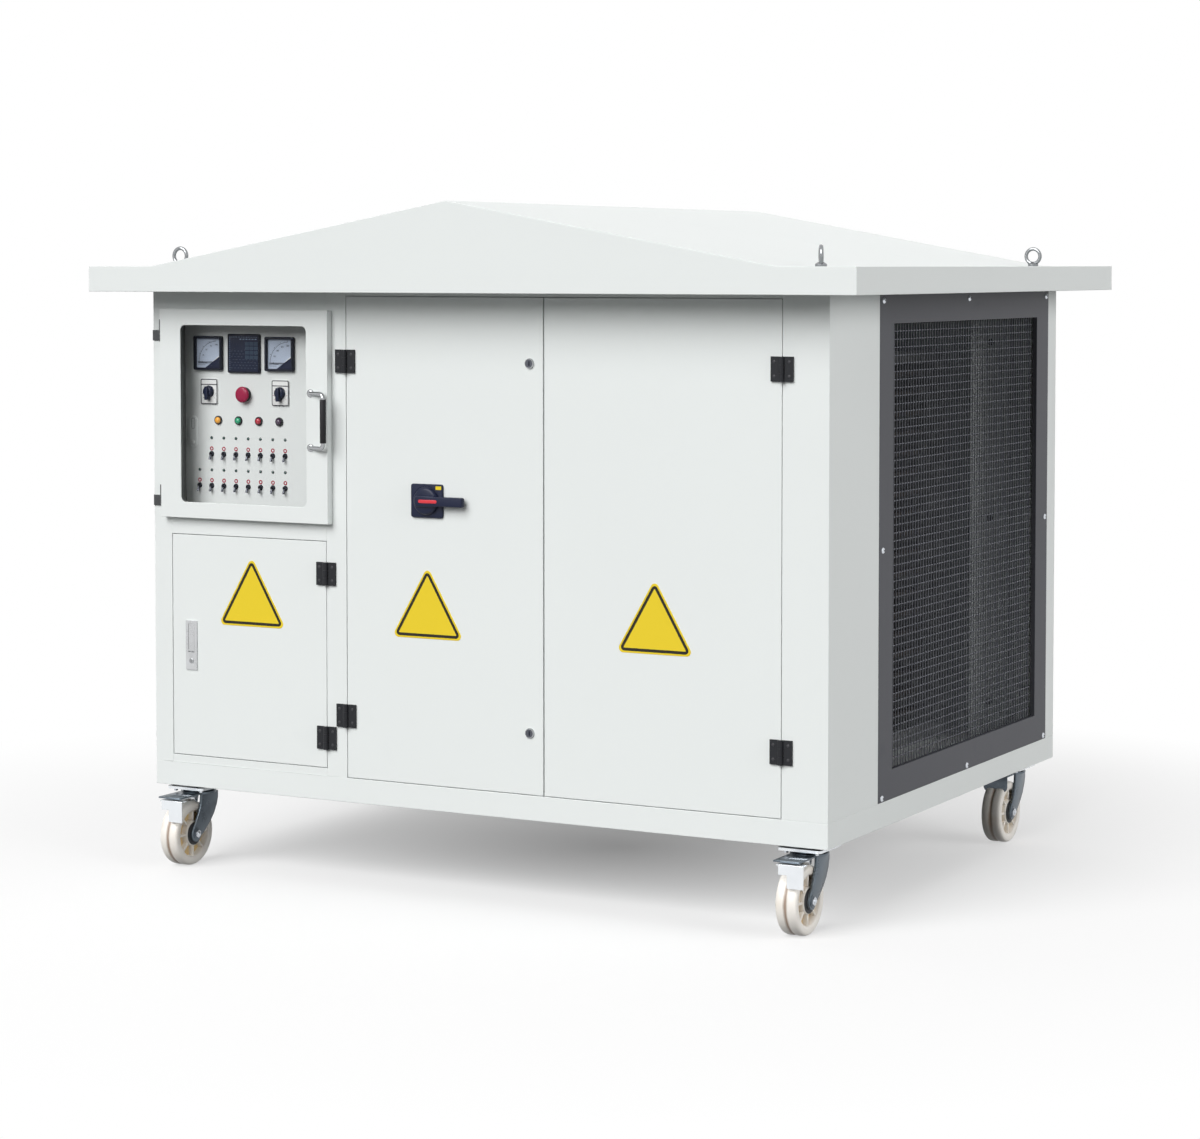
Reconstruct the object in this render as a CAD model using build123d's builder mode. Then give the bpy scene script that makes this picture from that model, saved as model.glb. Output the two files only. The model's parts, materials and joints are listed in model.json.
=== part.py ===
from build123d import *

import os
from math import cos, radians, sin

# Load bank on casters. X runs right along the front, Y to the rear, Z up from the floor.

# Cabinet
cabinet_width = 1746.0
cabinet_depth = 1376.0
cabinet_height = 1170.0
caster_height = 190.0
sheet = 2.5
sill_height = 56.0
channel_wall = 4.0
channel_flange = 50.0
cross_member_width = 60.0
gusset_overlap = 8.0

# Front, from left to right
left_post_width = 50.0
left_bay_width = 437.0
mullion_width = 54.0
middle_door_width = 518.0
right_post_width = 108.0
header_height = 8.0
cable_sill_height = 18.0
door_depth = 20.0
door_gap = 1.5
stop_lip = 12.0
stop_gap = 1.5
centre_strip_width = 52.0
centre_strip_thickness = 4.0

# Control bay and window door
bay_margin = 8.0
bay_opening_height = 447.0
bay_bottom_rail = 61.0
bay_top_rail = 63.0
bay_depth = 60.0
window_lap_side = 24.5
window_lap_bottom = 21.0
window_lap_top = 22.0
window_door_depth = 20.0
window_seal = 1.0
window_width = 353.0
window_height = 415.0
window_corner = 13.0
pane_thickness = 4.0
pane_lap = 9.0
panel_depth = 12.0
panel_recess = 45.0
panel_gap = 2.0
panel_pin_inset = 10.0

# Hinges
hinge_width = 52.0
hinge_height = 53.0
leaf_thickness = 5.0
knuckle_radius = 6.0
pin_radius = 3.0
running_gap = 0.08
axial_gap = 0.3
leaf_relief = 0.7
large_hinge_lift = 144.0
large_hinge_drop = 149.0
cable_hinge_lift = 71.0
cable_hinge_drop = 75.0
chrome_hinge_height = 50.0
chrome_leaf_thickness = 3.0
chrome_knuckle_radius = 5.5

# Roof
roof_overhang = 107.0
fascia_height = 59.0
ridge_rise = 144.0
gable_margin = 180.0
roof_sheet = 2.5
roof_land = 40.0
eye_inset_x = 43.0
eye_inset_y = 50.0
eye_bore_radius = 13.5
eye_ring_thickness = 9.0
eye_collar_radius = 12.5
eye_collar_height = 8.0
eye_turns = (0.0, 62.0, 0.0, 0.0)

# Side grilles
cheek_depth = 266.0
rear_post_depth = 56.0
land_width = 22.0
grille_frame_sheet = 3.0
grille_frame_side = 79.0
grille_frame_top = 66.0
grille_return = 12.0
grille_lap = 6.0
mesh_wire = 2.0
mesh_columns = 57
mesh_rows = 55

# Fan
impeller_diameter = 760.0
tip_gap = 6.0
shroud_sheet = 3.0
shroud_depth = 150.0
shroud_inset = 190.0
fan_hub_diameter = 190.0
fan_hub_depth = 70.0
fan_blades = 6
blade_thickness = 5.0
blade_root_chord = 100.0
blade_tip_chord = 150.0
blade_pitch = 30.0
motor_diameter = 200.0
motor_back_reach = 140.0
motor_front_reach = 40.0
motor_flange_radius = 118.0
motor_flange_thickness = 6.0
hub_gap = 8.0
motor_shaft_radius = 14.0
motor_arm_width = 40.0

# Resistors
rack_width = 560.0
rack_height = 940.0
rack_sheet = 3.0
rack_inset = 260.0
rack_foot = 30.0
rack_end_gap = 22.0
element_width = 34.0
element_thickness = 12.0
element_columns = 4
element_rows = 18
element_pitch_x = 130.0
element_pitch_z = 50.0

# Electrical compartment
plate_standoff = 20.0
plate_margin = 70.0
plate_thickness = 3.0
standoff_radius = 9.0
breaker_width = 140.0
breaker_height = 200.0
breaker_depth = 110.0
breaker_shaft_side = 8.0
switch_shoulder = 2 / 3
shaft_gap = 8.0
contactor_width = 62.0
contactor_height = 96.0
contactor_depth = 84.0
contactor_columns = 6
contactor_rows = 3
contactor_pitch_x = 96.0
contactor_offset = 64.0
contactor_pitch_z = 210.0
terminal_board_width = 350.0
terminal_board_height = 90.0
terminal_board_thickness = 12.0
terminal_board_standoff = 90.0
terminal_count = 4
terminal_width = 40.0
terminal_length = 150.0
terminal_thickness = 8.0
terminal_hole_radius = 6.5
terminal_hole_inset = 22.0
cable_entry_width = 260.0
cable_entry_depth = 110.0

# Window door handle
handle_inset = 46.0
handle_centre_lift = 237.0
handle_length = 125.0
handle_reach_x = 46.0
handle_reach_y = 18.0
handle_rod_radius = 5.0
handle_bend = 12.0
grip_radius = 7.0
grip_length = 98.0

# Flush lock on the cable door
lock_plate_width = 32.0
lock_plate_height = 116.0
lock_plate_thickness = 3.0
lock_inset = 56.0
lock_body_width = 26.0
lock_body_depth = 24.0
flap_width = 16.0
flap_height = 66.0
flap_thickness = 5.0
flap_gap = 0.6
flap_pin_radius = 2.0
flap_drop = 34.0
lock_button_radius = 6.0
lock_button_travel = 3.0

# Quarter-turn locks and rotary disconnect on the middle door
lock_edge_inset = 35.0
lock_head_radius = 11.0
lock_barrel_radius = 9.0
lock_head_height = 3.0
cam_length = 44.0
cam_width = 16.0
cam_thickness = 3.0
upper_lock_drop = 147.0
lower_lock_lift = 139.0
disconnect_inset = 219.0
disconnect_lift = 646.0
disconnect_plate_width = 83.0
disconnect_plate_height = 76.0
disconnect_plate_thickness = 6.0
disconnect_knob_radius = 30.0
disconnect_knob_height = 22.0
lever_length = 94.0
lever_width = 20.0
lever_thickness = 12.0
disconnect_stem_radius = 9.0

# Instruments on the control panel
instrument_offset = -37.1
fitting_gap = 0.5
meter_size = 80.0
meter_bezel = 9.0
meter_body = 40.0
meter_rim = 5.0
meter_spread = 202.5
meter_drop = 80.0
dial_recess = 6.0
needle_length = 50.0
needle_width = 1.4
needle_thickness = 0.8
needle_hub_radius = 4.0
needle_pivot_inset = 14.0
power_meter_size = 96.0
power_bezel = 6.0
power_body = 50.0
selector_drop = 171.0
selector_plate_width = 48.0
selector_plate_height = 60.0
selector_plate_thickness = 3.0
selector_body_side = 42.0
selector_body_depth = 40.0
knob_radius = 18.0
knob_skirt = 6.0
knob_height = 14.0
knob_bar_width = 11.0
knob_bar_length = 33.0
stem_radius = 5.0
estop_drop = 176.0
estop_radius = 20.0
estop_dome = 8.0
estop_travel = 4.0
estop_collar_radius = 15.0
estop_collar_height = 5.0
estop_stem_radius = 8.0
lamp_drop = 238.0
lamp_pitch = 57.7
lamp_count = 4
lamp_offset = 10.5
lamp_radius = 10.5
lamp_height = 9.0
lamp_body_radius = 9.0
lamp_body_depth = 30.0
toggle_pitch = 34.8
toggle_upper_drop = 318.0
toggle_lower_drop = 393.0
toggle_upper_count = 7
toggle_lower_count = 8
toggle_right = 112.5
bush_radius = 6.0
bush_bore_radius = 4.0
bush_height = 3.0
toggle_body_depth = 18.0
toggle_tail = 3.2
toggle_root_radius = 2.2
toggle_tip_radius = 2.7
toggle_length = 17.0
toggle_tilt = 20.0

# Casters
caster_inset_x = 73.0
caster_inset_front = 68.0
caster_inset_rear = 118.0
wheel_diameter = 150.0
wheel_width = 50.0
wheel_trail = 50.0
wheel_web = 16.0
wheel_rim = 13.0
wheel_hub_radius = 24.0
wheel_ribs = 6
wheel_rib_width = 7.0
wheel_rib_root = 1.0
wheel_gap = 1.0
axle_radius = 8.0
axle_nut_radius = 12.0
axle_nut_height = 6.0
caster_plate_x = 102.0
caster_plate_y = 114.0
caster_plate_thickness = 6.0
swivel_ring_radius = 32.0
swivel_ring_height = 6.0
caster_bolt_x = 71.0
caster_bolt_y = 84.0
caster_nut_radius = 8.0
caster_nut_height = 7.0
swivel_radius = 36.0
swivel_height = 8.0
kingpin_radius = 9.0
kingpin_head_radius = 15.0
kingpin_head = 5.0
fork_sheet = 5.0
fork_crown_radius = 40.0
fork_leg_foot = 20.0
fork_leg_head = 72.0
pedal_sheet = 3.0
pedal_pin_radius = 4.0
pedal_pin_back = 14.0
pedal_pin_rise = 81.0
pedal_eye_radius = 7.0
pedal_arm_width = 38.0
pedal_front = 77.0
pedal_shelf = 20.0
pedal_offset = 24.0
pedal_height = 50.0
pedal_lobe_width = 20.0
pedal_lobe_height = 22.0

# Planes and lines that the cabinet's pieces share
x_left = -cabinet_width / 2
x_right = cabinet_width / 2
y_front = -cabinet_depth / 2
y_rear = cabinet_depth / 2
z_base = caster_height
z_sill = z_base + sill_height
z_top = z_base + cabinet_height
bay_left = x_left + left_post_width
bay_right = bay_left + left_bay_width
doors_left = bay_right + mullion_width
doors_right = x_right - right_post_width
doors_meet = doors_left + middle_door_width
doors_top = z_top - header_height
cable_bottom = z_sill + cable_sill_height
opening_top = z_top - bay_top_rail
opening_bottom = opening_top - bay_opening_height
cable_top = opening_bottom - bay_bottom_rail
y_stop = y_front + door_depth + stop_gap
y_partition = y_front + cheek_depth
y_duct_end = y_rear - rear_post_depth
z_floor = z_sill - channel_wall - sheet
duct_middle_y = (y_partition + y_duct_end) / 2
duct_middle_z = (z_sill + z_top) / 2


def facing_front(y):
    """Upright plane across the cabinet at a depth: its axes are X and Z, its normal -Y."""
    return Plane.XZ.offset(-y)


def facing_right(x):
    """Upright plane along the cabinet: its axes are Y and Z, its normal +X."""
    return Plane.YZ.offset(x)


def level(z):
    """Horizontal plane at a height."""
    return Plane.XY.offset(z)


def between(low_a, high_a, low_b, high_b, mode=Mode.ADD):
    """Rectangle between two pairs of limits, in the sketch's own axes."""
    with Locations(((low_a + high_a) / 2, (low_b + high_b) / 2)):
        Rectangle(high_a - low_a, high_b - low_b, mode=mode)


def block(low, high, mode=Mode.ADD):
    """Square-edged solid between two corners."""
    size = [b - a for a, b in zip(low, high)]
    with Locations(tuple((a + b) / 2 for a, b in zip(low, high))):
        Box(*size, mode=mode)


def disc(plane, a, b, radius, thickness, mode=Mode.ADD):
    """Round bar from a plane, along its normal."""
    with BuildSketch(plane) as circle:
        with Locations((a, b)):
            Circle(radius)
    extrude(circle.sketch, amount=thickness, mode=mode)


def save(name, *pieces):
    """Label a node and write it; several pieces stay separate solids of one node."""
    node = pieces[0].part if len(pieces) == 1 else Compound([s for p in pieces for s in p.part.solids()])
    node.label = name
    export_step(node, f"parts/{name}.step")


os.makedirs("parts", exist_ok=True)

# Base frame: a ring of channels that open inwards, two cross members, plates over the casters

caster_spots = {
    "front_left": (x_left + caster_inset_x, y_front + caster_inset_front),
    "front_right": (x_right - caster_inset_x, y_front + caster_inset_front),
    "rear_left": (x_left + caster_inset_x, y_rear - caster_inset_rear),
    "rear_right": (x_right - caster_inset_x, y_rear - caster_inset_rear),
}

with BuildPart() as channels:
    with BuildSketch(level(z_base)):
        Rectangle(cabinet_width, cabinet_depth)
        Rectangle(cabinet_width - 2 * channel_wall, cabinet_depth - 2 * channel_wall, mode=Mode.SUBTRACT)
    extrude(amount=sill_height)
    with BuildSketch(level(z_base), level(z_sill - channel_wall)):
        Rectangle(cabinet_width, cabinet_depth)
        Rectangle(
            cabinet_width - 2 * channel_flange, cabinet_depth - 2 * channel_flange, mode=Mode.SUBTRACT
        )
    extrude(amount=channel_wall)
    with BuildSketch(level(z_base)):
        for spot_x, spot_y in caster_spots.values():
            side_x = x_left if spot_x < 0 else x_right
            side_y = y_front if spot_y < 0 else y_rear
            inner_x = spot_x - (caster_plate_x / 2 + gusset_overlap) * (1 if spot_x > 0 else -1)
            inner_y = spot_y - (caster_plate_y / 2 + gusset_overlap) * (1 if spot_y > 0 else -1)
            between(min(side_x, inner_x), max(side_x, inner_x), min(side_y, inner_y), max(side_y, inner_y))
    extrude(amount=channel_wall)

cross_members = []
for member_y in (y_partition, y_rear - cabinet_depth / 4):
    with BuildPart() as cross_member:
        with BuildSketch(facing_right(x_left + channel_wall)):
            between(
                member_y - cross_member_width / 2,
                member_y + cross_member_width / 2,
                z_base + channel_wall,
                z_floor,
            )
            between(
                member_y - cross_member_width / 2 + channel_wall,
                member_y + cross_member_width / 2 - channel_wall,
                z_base + channel_wall,
                z_floor - channel_wall,
                mode=Mode.SUBTRACT,
            )
        extrude(amount=cabinet_width - 2 * channel_wall)
    cross_members.append(cross_member)

entry_left = (bay_left + bay_right - cable_entry_width) / 2
entry_right = entry_left + cable_entry_width
entry_front = y_front + channel_flange + stop_lip
with BuildPart() as floor_pan:
    with BuildSketch(level(z_floor)):
        Rectangle(cabinet_width - 2 * channel_wall, cabinet_depth - 2 * channel_wall)
        between(
            entry_left, entry_right, entry_front, entry_front + cable_entry_depth, mode=Mode.SUBTRACT
        )
    extrude(amount=sheet)

save("base_frame", channels, floor_pan, *cross_members)

# Front frame: folded posts with lips that stop the doors, and the bay that holds the control panel


def hat_post(left, right, lip_left, lip_right):
    """Plan of a folded post: face, two returns, and a stop lip on each open side."""
    between(left, right, y_front, y_front + sheet)
    between(left, left + sheet, y_front, y_stop + sheet)
    between(right - sheet, right, y_front, y_stop + sheet)
    between(left - lip_left, left + sheet, y_stop, y_stop + sheet)
    between(right - sheet, right + lip_right, y_stop, y_stop + sheet)


with BuildPart() as left_post:
    with BuildSketch(level(z_sill)):
        hat_post(x_left + sheet, bay_left, 0, stop_lip)
        between(x_left, x_left + sheet, y_front, y_front + sheet)
    extrude(amount=cabinet_height - sill_height)
    block(
        (bay_left, y_stop, cable_top - stop_lip),
        (bay_left + stop_lip, y_stop + sheet, z_top),
        mode=Mode.SUBTRACT,
    )

with BuildPart() as mullion:
    with BuildSketch(level(z_sill)):
        hat_post(bay_right, doors_left, stop_lip, stop_lip)
    extrude(amount=cabinet_height - sill_height)
    block(
        (bay_right - stop_lip, y_stop, cable_top - stop_lip),
        (bay_right, y_stop + sheet, z_top),
        mode=Mode.SUBTRACT,
    )

with BuildPart() as right_post:
    with BuildSketch(level(z_sill)):
        hat_post(doors_right, x_right - sheet, stop_lip, 0)
        between(x_right - sheet, x_right, y_front, y_front + sheet)
    extrude(amount=cabinet_height - sill_height)

with BuildPart() as header:
    with BuildSketch(facing_right(doors_left)):
        between(y_front, y_front + sheet, doors_top, z_top)
        between(y_front, y_stop + sheet, z_top - sheet, z_top)
    extrude(amount=doors_right - doors_left)
    with BuildSketch(facing_right(doors_left + stop_lip)):
        between(y_stop, y_stop + sheet, doors_top - stop_lip, z_top)
    extrude(amount=doors_right - doors_left - 2 * stop_lip)

with BuildPart() as centre_strip:
    with BuildSketch(facing_front(y_stop + centre_strip_thickness)):
        between(
            doors_meet - centre_strip_width / 2,
            doors_meet + centre_strip_width / 2,
            z_sill,
            doors_top - stop_lip,
        )
    extrude(amount=centre_strip_thickness)

with BuildPart() as cable_sill:
    with BuildSketch(facing_right(bay_left)):
        between(y_front, y_front + sheet, z_sill, cable_bottom)
        between(y_front, y_stop + sheet, cable_bottom - sheet, cable_bottom)
    extrude(amount=left_bay_width)
    with BuildSketch(facing_right(bay_left + stop_lip)):
        between(y_stop, y_stop + sheet, z_sill, cable_bottom + stop_lip)
    extrude(amount=left_bay_width - 2 * stop_lip)

opening_left = bay_left + bay_margin
opening_right = bay_right - bay_margin
y_bay_back = y_front + bay_depth
panel_pin_x = opening_right - panel_pin_inset
y_panel = y_front + panel_recess
panel_pin_y = y_panel + panel_depth / 2

with BuildPart() as control_bay:
    with BuildSketch(facing_front(y_front + sheet)):
        between(bay_left, bay_right, cable_top, z_top)
        between(opening_left, opening_right, opening_bottom, opening_top, mode=Mode.SUBTRACT)
    extrude(amount=sheet)
    with BuildSketch(facing_front(y_bay_back)):
        between(opening_left - sheet, opening_right + sheet, opening_bottom - sheet, opening_top + sheet)
        between(opening_left, opening_right, opening_bottom, opening_top, mode=Mode.SUBTRACT)
    extrude(amount=bay_depth)
    with BuildSketch(facing_front(y_bay_back)):
        between(opening_left, opening_left + stop_lip, opening_bottom, opening_top)
    extrude(amount=sheet)
    with BuildSketch(facing_right(bay_left + stop_lip)):
        between(y_front, y_stop + sheet, cable_top, cable_top + sheet)
        between(y_stop, y_stop + sheet, cable_top - stop_lip, cable_top + sheet)
    extrude(amount=left_bay_width - 2 * stop_lip)
    pin_rise = panel_gap + sheet + axial_gap
    for pin_z in (opening_bottom, opening_top - pin_rise):
        disc(level(pin_z), panel_pin_x, panel_pin_y, pin_radius, pin_rise)

save("front_frame", left_post, mullion, right_post, header, centre_strip, cable_sill, control_bay)

# Sides: a cheek beside the electrical compartment, the rear post, and lands for the grille frame


def side_frame(outer, inner):
    """One side's folded sheets; outer is the face, inner the direction into the cabinet."""
    skin = sorted((outer, outer + inner * sheet))
    land = sorted((outer + inner * grille_frame_sheet, outer + inner * (grille_frame_sheet + sheet)))
    flange = sorted((outer, outer + inner * (grille_frame_sheet + sheet)))
    with BuildPart() as frame:
        with BuildSketch(facing_right(skin[0])) as skins:
            between(y_front + sheet, y_partition, z_sill, z_top)
            between(y_duct_end, y_rear - sheet, z_sill, z_top)
        extrude(skins.sketch, amount=sheet)
        with BuildSketch(facing_right(flange[0])) as folds:
            between(y_partition - sheet, y_partition, z_sill, z_top)
            between(y_duct_end, y_duct_end + sheet, z_sill, z_top)
        extrude(folds.sketch, amount=flange[1] - flange[0])
        with BuildSketch(facing_right(land[0])) as lands:
            between(y_partition - sheet, y_duct_end + sheet, z_sill, z_top)
            between(
                y_partition + land_width,
                y_duct_end - land_width,
                z_sill + land_width,
                z_top - land_width,
                mode=Mode.SUBTRACT,
            )
        extrude(lands.sketch, amount=sheet)
    return frame


save("side_frames", side_frame(x_left, 1), side_frame(x_right, -1))

with BuildPart() as rear_panel:
    with BuildSketch(facing_front(y_rear)):
        between(x_left, x_right, z_sill, z_top)
    extrude(amount=sheet)
    with BuildSketch(facing_front(y_rear)):
        between(x_left + 2 * sheet, x_right - 2 * sheet, z_sill, z_top)
        between(x_left + 3 * sheet, x_right - 3 * sheet, z_sill + sheet, z_top - sheet, mode=Mode.SUBTRACT)
    extrude(amount=door_depth)
save("rear_panel", rear_panel)

with BuildPart() as partition:
    with BuildSketch(facing_front(y_partition)):
        partition_reach = cabinet_width / 2 - grille_frame_sheet - 2 * sheet
        between(-partition_reach, partition_reach, z_sill, z_top)
    extrude(amount=sheet)
save("partition", partition)

# Roof: one folded lid with a deep fascia and a low gable, open underneath inside its resting flange

eave_x = cabinet_width / 2 + roof_overhang
eave_y = cabinet_depth / 2 + roof_overhang
z_eave = z_top + fascia_height
z_ridge = z_eave + ridge_rise
gable_foot = eave_x - gable_margin

with BuildPart() as roof_canopy:
    with BuildSketch(facing_front(eave_y)):
        with BuildLine():
            Polyline(
                (-eave_x, z_top),
                (eave_x, z_top),
                (eave_x, z_eave),
                (gable_foot, z_eave),
                (0, z_ridge),
                (-gable_foot, z_eave),
                (-eave_x, z_eave),
                close=True,
            )
        make_face()
    extrude(amount=2 * eave_y)
    offset(amount=-roof_sheet, openings=faces().sort_by(Axis.Z)[0])
    with BuildSketch(level(z_top)):
        Rectangle(2 * eave_x, 2 * eave_y)
        Rectangle(cabinet_width - 2 * roof_land, cabinet_depth - 2 * roof_land, mode=Mode.SUBTRACT)
    extrude(amount=roof_sheet)
save("roof_canopy", roof_canopy)

# Lifting eyes: a forged ring of six-sided section, with a flat land in its bore, on a turned collar

eye_centre_rise = eye_collar_height + eye_bore_radius + eye_ring_thickness / 3
lifting_eyes = []
eye_spots = [(sx * (eave_x - roof_overhang - eye_inset_x), sy * (eave_y - roof_overhang - eye_inset_y))
             for sy in (-1, 1) for sx in (-1, 1)]
for (eye_x, eye_y), turn in zip(eye_spots, eye_turns):
    ring_middle = eye_bore_radius + eye_ring_thickness / 2
    eye_plane = Plane(
        origin=(eye_x, eye_y, z_eave + eye_centre_rise),
        x_dir=(cos(radians(turn)), -sin(radians(turn)), 0),
        z_dir=(-sin(radians(turn)), -cos(radians(turn)), 0),
    )
    section_plane = Plane(origin=eye_plane.origin, x_dir=eye_plane.x_dir, z_dir=(0, 0, 1))
    with BuildPart() as lifting_eye:
        disc(level(z_eave), eye_x, eye_y, eye_collar_radius, eye_collar_height)
        with BuildSketch(section_plane):
            with Locations((ring_middle, 0)):
                RegularPolygon(eye_ring_thickness / 2, 6, major_radius=False, rotation=30)
        revolve(axis=Axis(eye_plane.origin, eye_plane.z_dir))
    lifting_eyes.append(lifting_eye)
save("lifting_eyes", *lifting_eyes)

# Grilles: a flush frame round a wire mesh, the upright wires in front of the level ones

mesh_low_y = y_partition + grille_frame_side
mesh_high_y = y_duct_end - grille_frame_side
mesh_low_z = z_sill + grille_frame_top
mesh_high_z = z_top - grille_frame_top
mesh_pitch_y = (mesh_high_y - mesh_low_y) / mesh_columns
mesh_pitch_z = (mesh_high_z - mesh_low_z) / mesh_rows
mesh_middle = ((mesh_low_y + mesh_high_y) / 2, (mesh_low_z + mesh_high_z) / 2)


def grille_frame(outer, inner):
    """Plate round the mesh, with a return that turns into the cabinet."""
    with BuildPart() as frame:
        with BuildSketch(facing_right(min(outer, outer + inner * grille_frame_sheet))) as plate:
            between(y_partition, y_duct_end, z_sill, z_top)
            between(mesh_low_y, mesh_high_y, mesh_low_z, mesh_high_z, mode=Mode.SUBTRACT)
        extrude(plate.sketch, amount=grille_frame_sheet)
        with BuildSketch(facing_right(min(outer, outer + inner * grille_return))) as folds:
            between(mesh_low_y - sheet, mesh_high_y + sheet, mesh_low_z - sheet, mesh_high_z + sheet)
            between(mesh_low_y, mesh_high_y, mesh_low_z, mesh_high_z, mode=Mode.SUBTRACT)
        extrude(folds.sketch, amount=grille_return)
    return frame


def wire_layer(near, count_y, count_z, width_y, width_z):
    """One layer of parallel square wires, from its nearer face inwards along X."""
    with BuildPart() as wires:
        middle = (near + mesh_wire / 2, *mesh_middle)
        with Locations(Plane(origin=middle, x_dir=(0, 1, 0), z_dir=(1, 0, 0))):
            with GridLocations(mesh_pitch_y, mesh_pitch_z, count_y, count_z):
                Box(width_y, width_z, mesh_wire)
    return wires


full_y = mesh_high_y - mesh_low_y + 2 * grille_lap
full_z = mesh_high_z - mesh_low_z + 2 * grille_lap
frames = []
meshes = []
for outer, inner in ((x_left, 1), (x_right, -1)):
    frames.append(grille_frame(outer, inner))
    back = outer + inner * grille_return
    upright_near = min(back, back + inner * mesh_wire)
    level_near = upright_near + inner * mesh_wire
    meshes.append(wire_layer(upright_near, mesh_columns - 1, 1, mesh_wire, full_z))
    meshes.append(wire_layer(level_near, 1, mesh_rows - 1, full_y, mesh_wire))
save("grille_frames", *frames)
save("grille_meshes", *meshes)

# Fan at the left inlet: a plate with a round hole and four arms for the motor, a ring round the impeller

shroud_x = x_left + shroud_inset
impeller_radius = impeller_diameter / 2
shroud_radius = impeller_radius + tip_gap
shroud_plane = facing_right(shroud_x)

with BuildPart() as fan_plate:
    with BuildSketch(shroud_plane):
        between(y_partition, y_rear - sheet - door_depth, z_sill, z_top)
        with Locations((duct_middle_y, duct_middle_z)):
            Circle(shroud_radius, mode=Mode.SUBTRACT)
    extrude(amount=shroud_sheet)
    with BuildSketch(shroud_plane):
        with Locations((duct_middle_y, duct_middle_z)):
            Rectangle(2 * shroud_radius + shroud_sheet, motor_arm_width)
            Rectangle(motor_arm_width, 2 * shroud_radius + shroud_sheet)
            Circle(motor_diameter / 2 + shroud_sheet)
            Circle(motor_diameter / 2, mode=Mode.SUBTRACT)
    extrude(amount=shroud_sheet)
save("fan_plate", fan_plate)

with BuildPart() as fan_ring:
    with BuildSketch(facing_right(shroud_x + shroud_sheet)):
        with Locations((duct_middle_y, duct_middle_z)):
            Circle(shroud_radius + shroud_sheet)
            Circle(shroud_radius, mode=Mode.SUBTRACT)
    extrude(amount=shroud_depth - shroud_sheet)
save("fan_ring", fan_ring)

motor_face = shroud_x + motor_front_reach
fan_centre = (duct_middle_y, duct_middle_z)
hub_start = motor_face + hub_gap

with BuildPart() as fan_motor:
    motor_length = motor_back_reach + motor_front_reach
    disc(facing_right(motor_face - motor_length), *fan_centre, motor_diameter / 2, motor_length)
    disc(facing_right(shroud_x + shroud_sheet), *fan_centre, motor_flange_radius, motor_flange_thickness)
    disc(facing_right(motor_face), *fan_centre, motor_shaft_radius, hub_gap + fan_hub_depth)
save("fan_motor", fan_motor)

with BuildPart() as blade:
    for radius, chord in (
        (fan_hub_diameter / 2 - blade_thickness, blade_root_chord),
        (impeller_radius, blade_tip_chord),
    ):
        with BuildSketch(Plane(origin=(radius, 0, fan_hub_depth / 2), x_dir=(0, 1, 0), z_dir=(1, 0, 0))):
            Rectangle(chord, blade_thickness, rotation=blade_pitch)
    loft()

from_hub = (Align.CENTER, Align.CENTER, Align.MIN)
with BuildPart() as fan_impeller:
    with Locations(Plane(origin=(hub_start, *fan_centre), x_dir=(0, 1, 0), z_dir=(1, 0, 0))):
        Cylinder(fan_hub_diameter / 2, fan_hub_depth, align=from_hub)
        with PolarLocations(0, fan_blades):
            add(blade.part)
        Cylinder(impeller_radius, fan_hub_depth, align=from_hub, mode=Mode.INTERSECT)
        Cylinder(motor_shaft_radius + running_gap, fan_hub_depth, align=from_hub, mode=Mode.SUBTRACT)
save("fan_impeller", fan_impeller)

# Resistors: rows of finned strips across the air stream, between two standing end plates

rack_right = x_right - rack_inset
rack_left = rack_right - rack_width
rack_middle_x = (rack_left + rack_right) / 2
rack_front = y_partition + rack_end_gap
rack_rear = y_duct_end - rack_end_gap
z_rack = z_floor + sheet
with BuildPart() as resistor_rack:
    for plate_y in (rack_front + rack_sheet, rack_rear):
        with BuildSketch(facing_front(plate_y)):
            between(rack_left, rack_right, z_rack, z_rack + rack_foot + rack_height)
        extrude(amount=rack_sheet)
    with BuildSketch(facing_front(rack_rear)):
        for rail_x in (rack_left, rack_right - rack_foot):
            for rail_z in (z_rack, z_rack + rack_height):
                between(rail_x, rail_x + rack_foot, rail_z, rail_z + rack_sheet)
                between(rail_x, rail_x + rack_sheet, rail_z, rail_z + rack_foot)
    extrude(amount=rack_rear - rack_front)
save("resistor_rack", resistor_rack)

element_centre = (rack_middle_x, z_rack + rack_foot / 2 + rack_height / 2)
with BuildPart() as resistor_elements:
    with BuildSketch(facing_front(rack_rear - rack_sheet)):
        with Locations(element_centre):
            with GridLocations(element_pitch_x, element_pitch_z, element_columns, element_rows):
                Rectangle(element_width, element_thickness)
    extrude(amount=rack_rear - rack_front - 2 * rack_sheet)
save("resistor_elements", resistor_elements)

# Electrical compartment: mounting plate, breaker with its shaft, contactors, cable terminals

y_wall = y_partition - sheet
y_mount = y_wall - plate_standoff
mount_left = doors_left + plate_margin / 2
mount_right = doors_right - plate_margin / 2
mount_bottom = z_sill + plate_margin
mount_top = z_top - plate_margin
with BuildPart() as mounting_plate:
    with BuildSketch(facing_front(y_mount)):
        between(mount_left, mount_right, mount_bottom, mount_top)
    extrude(amount=plate_thickness)
    with BuildSketch(facing_front(y_wall)):
        with Locations(((mount_left + mount_right) / 2, (mount_bottom + mount_top) / 2)):
            with GridLocations(
                mount_right - mount_left - plate_margin, mount_top - mount_bottom - plate_margin, 2, 2
            ):
                Circle(standoff_radius)
    extrude(amount=plate_standoff)
save("mounting_plate", mounting_plate)

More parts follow.
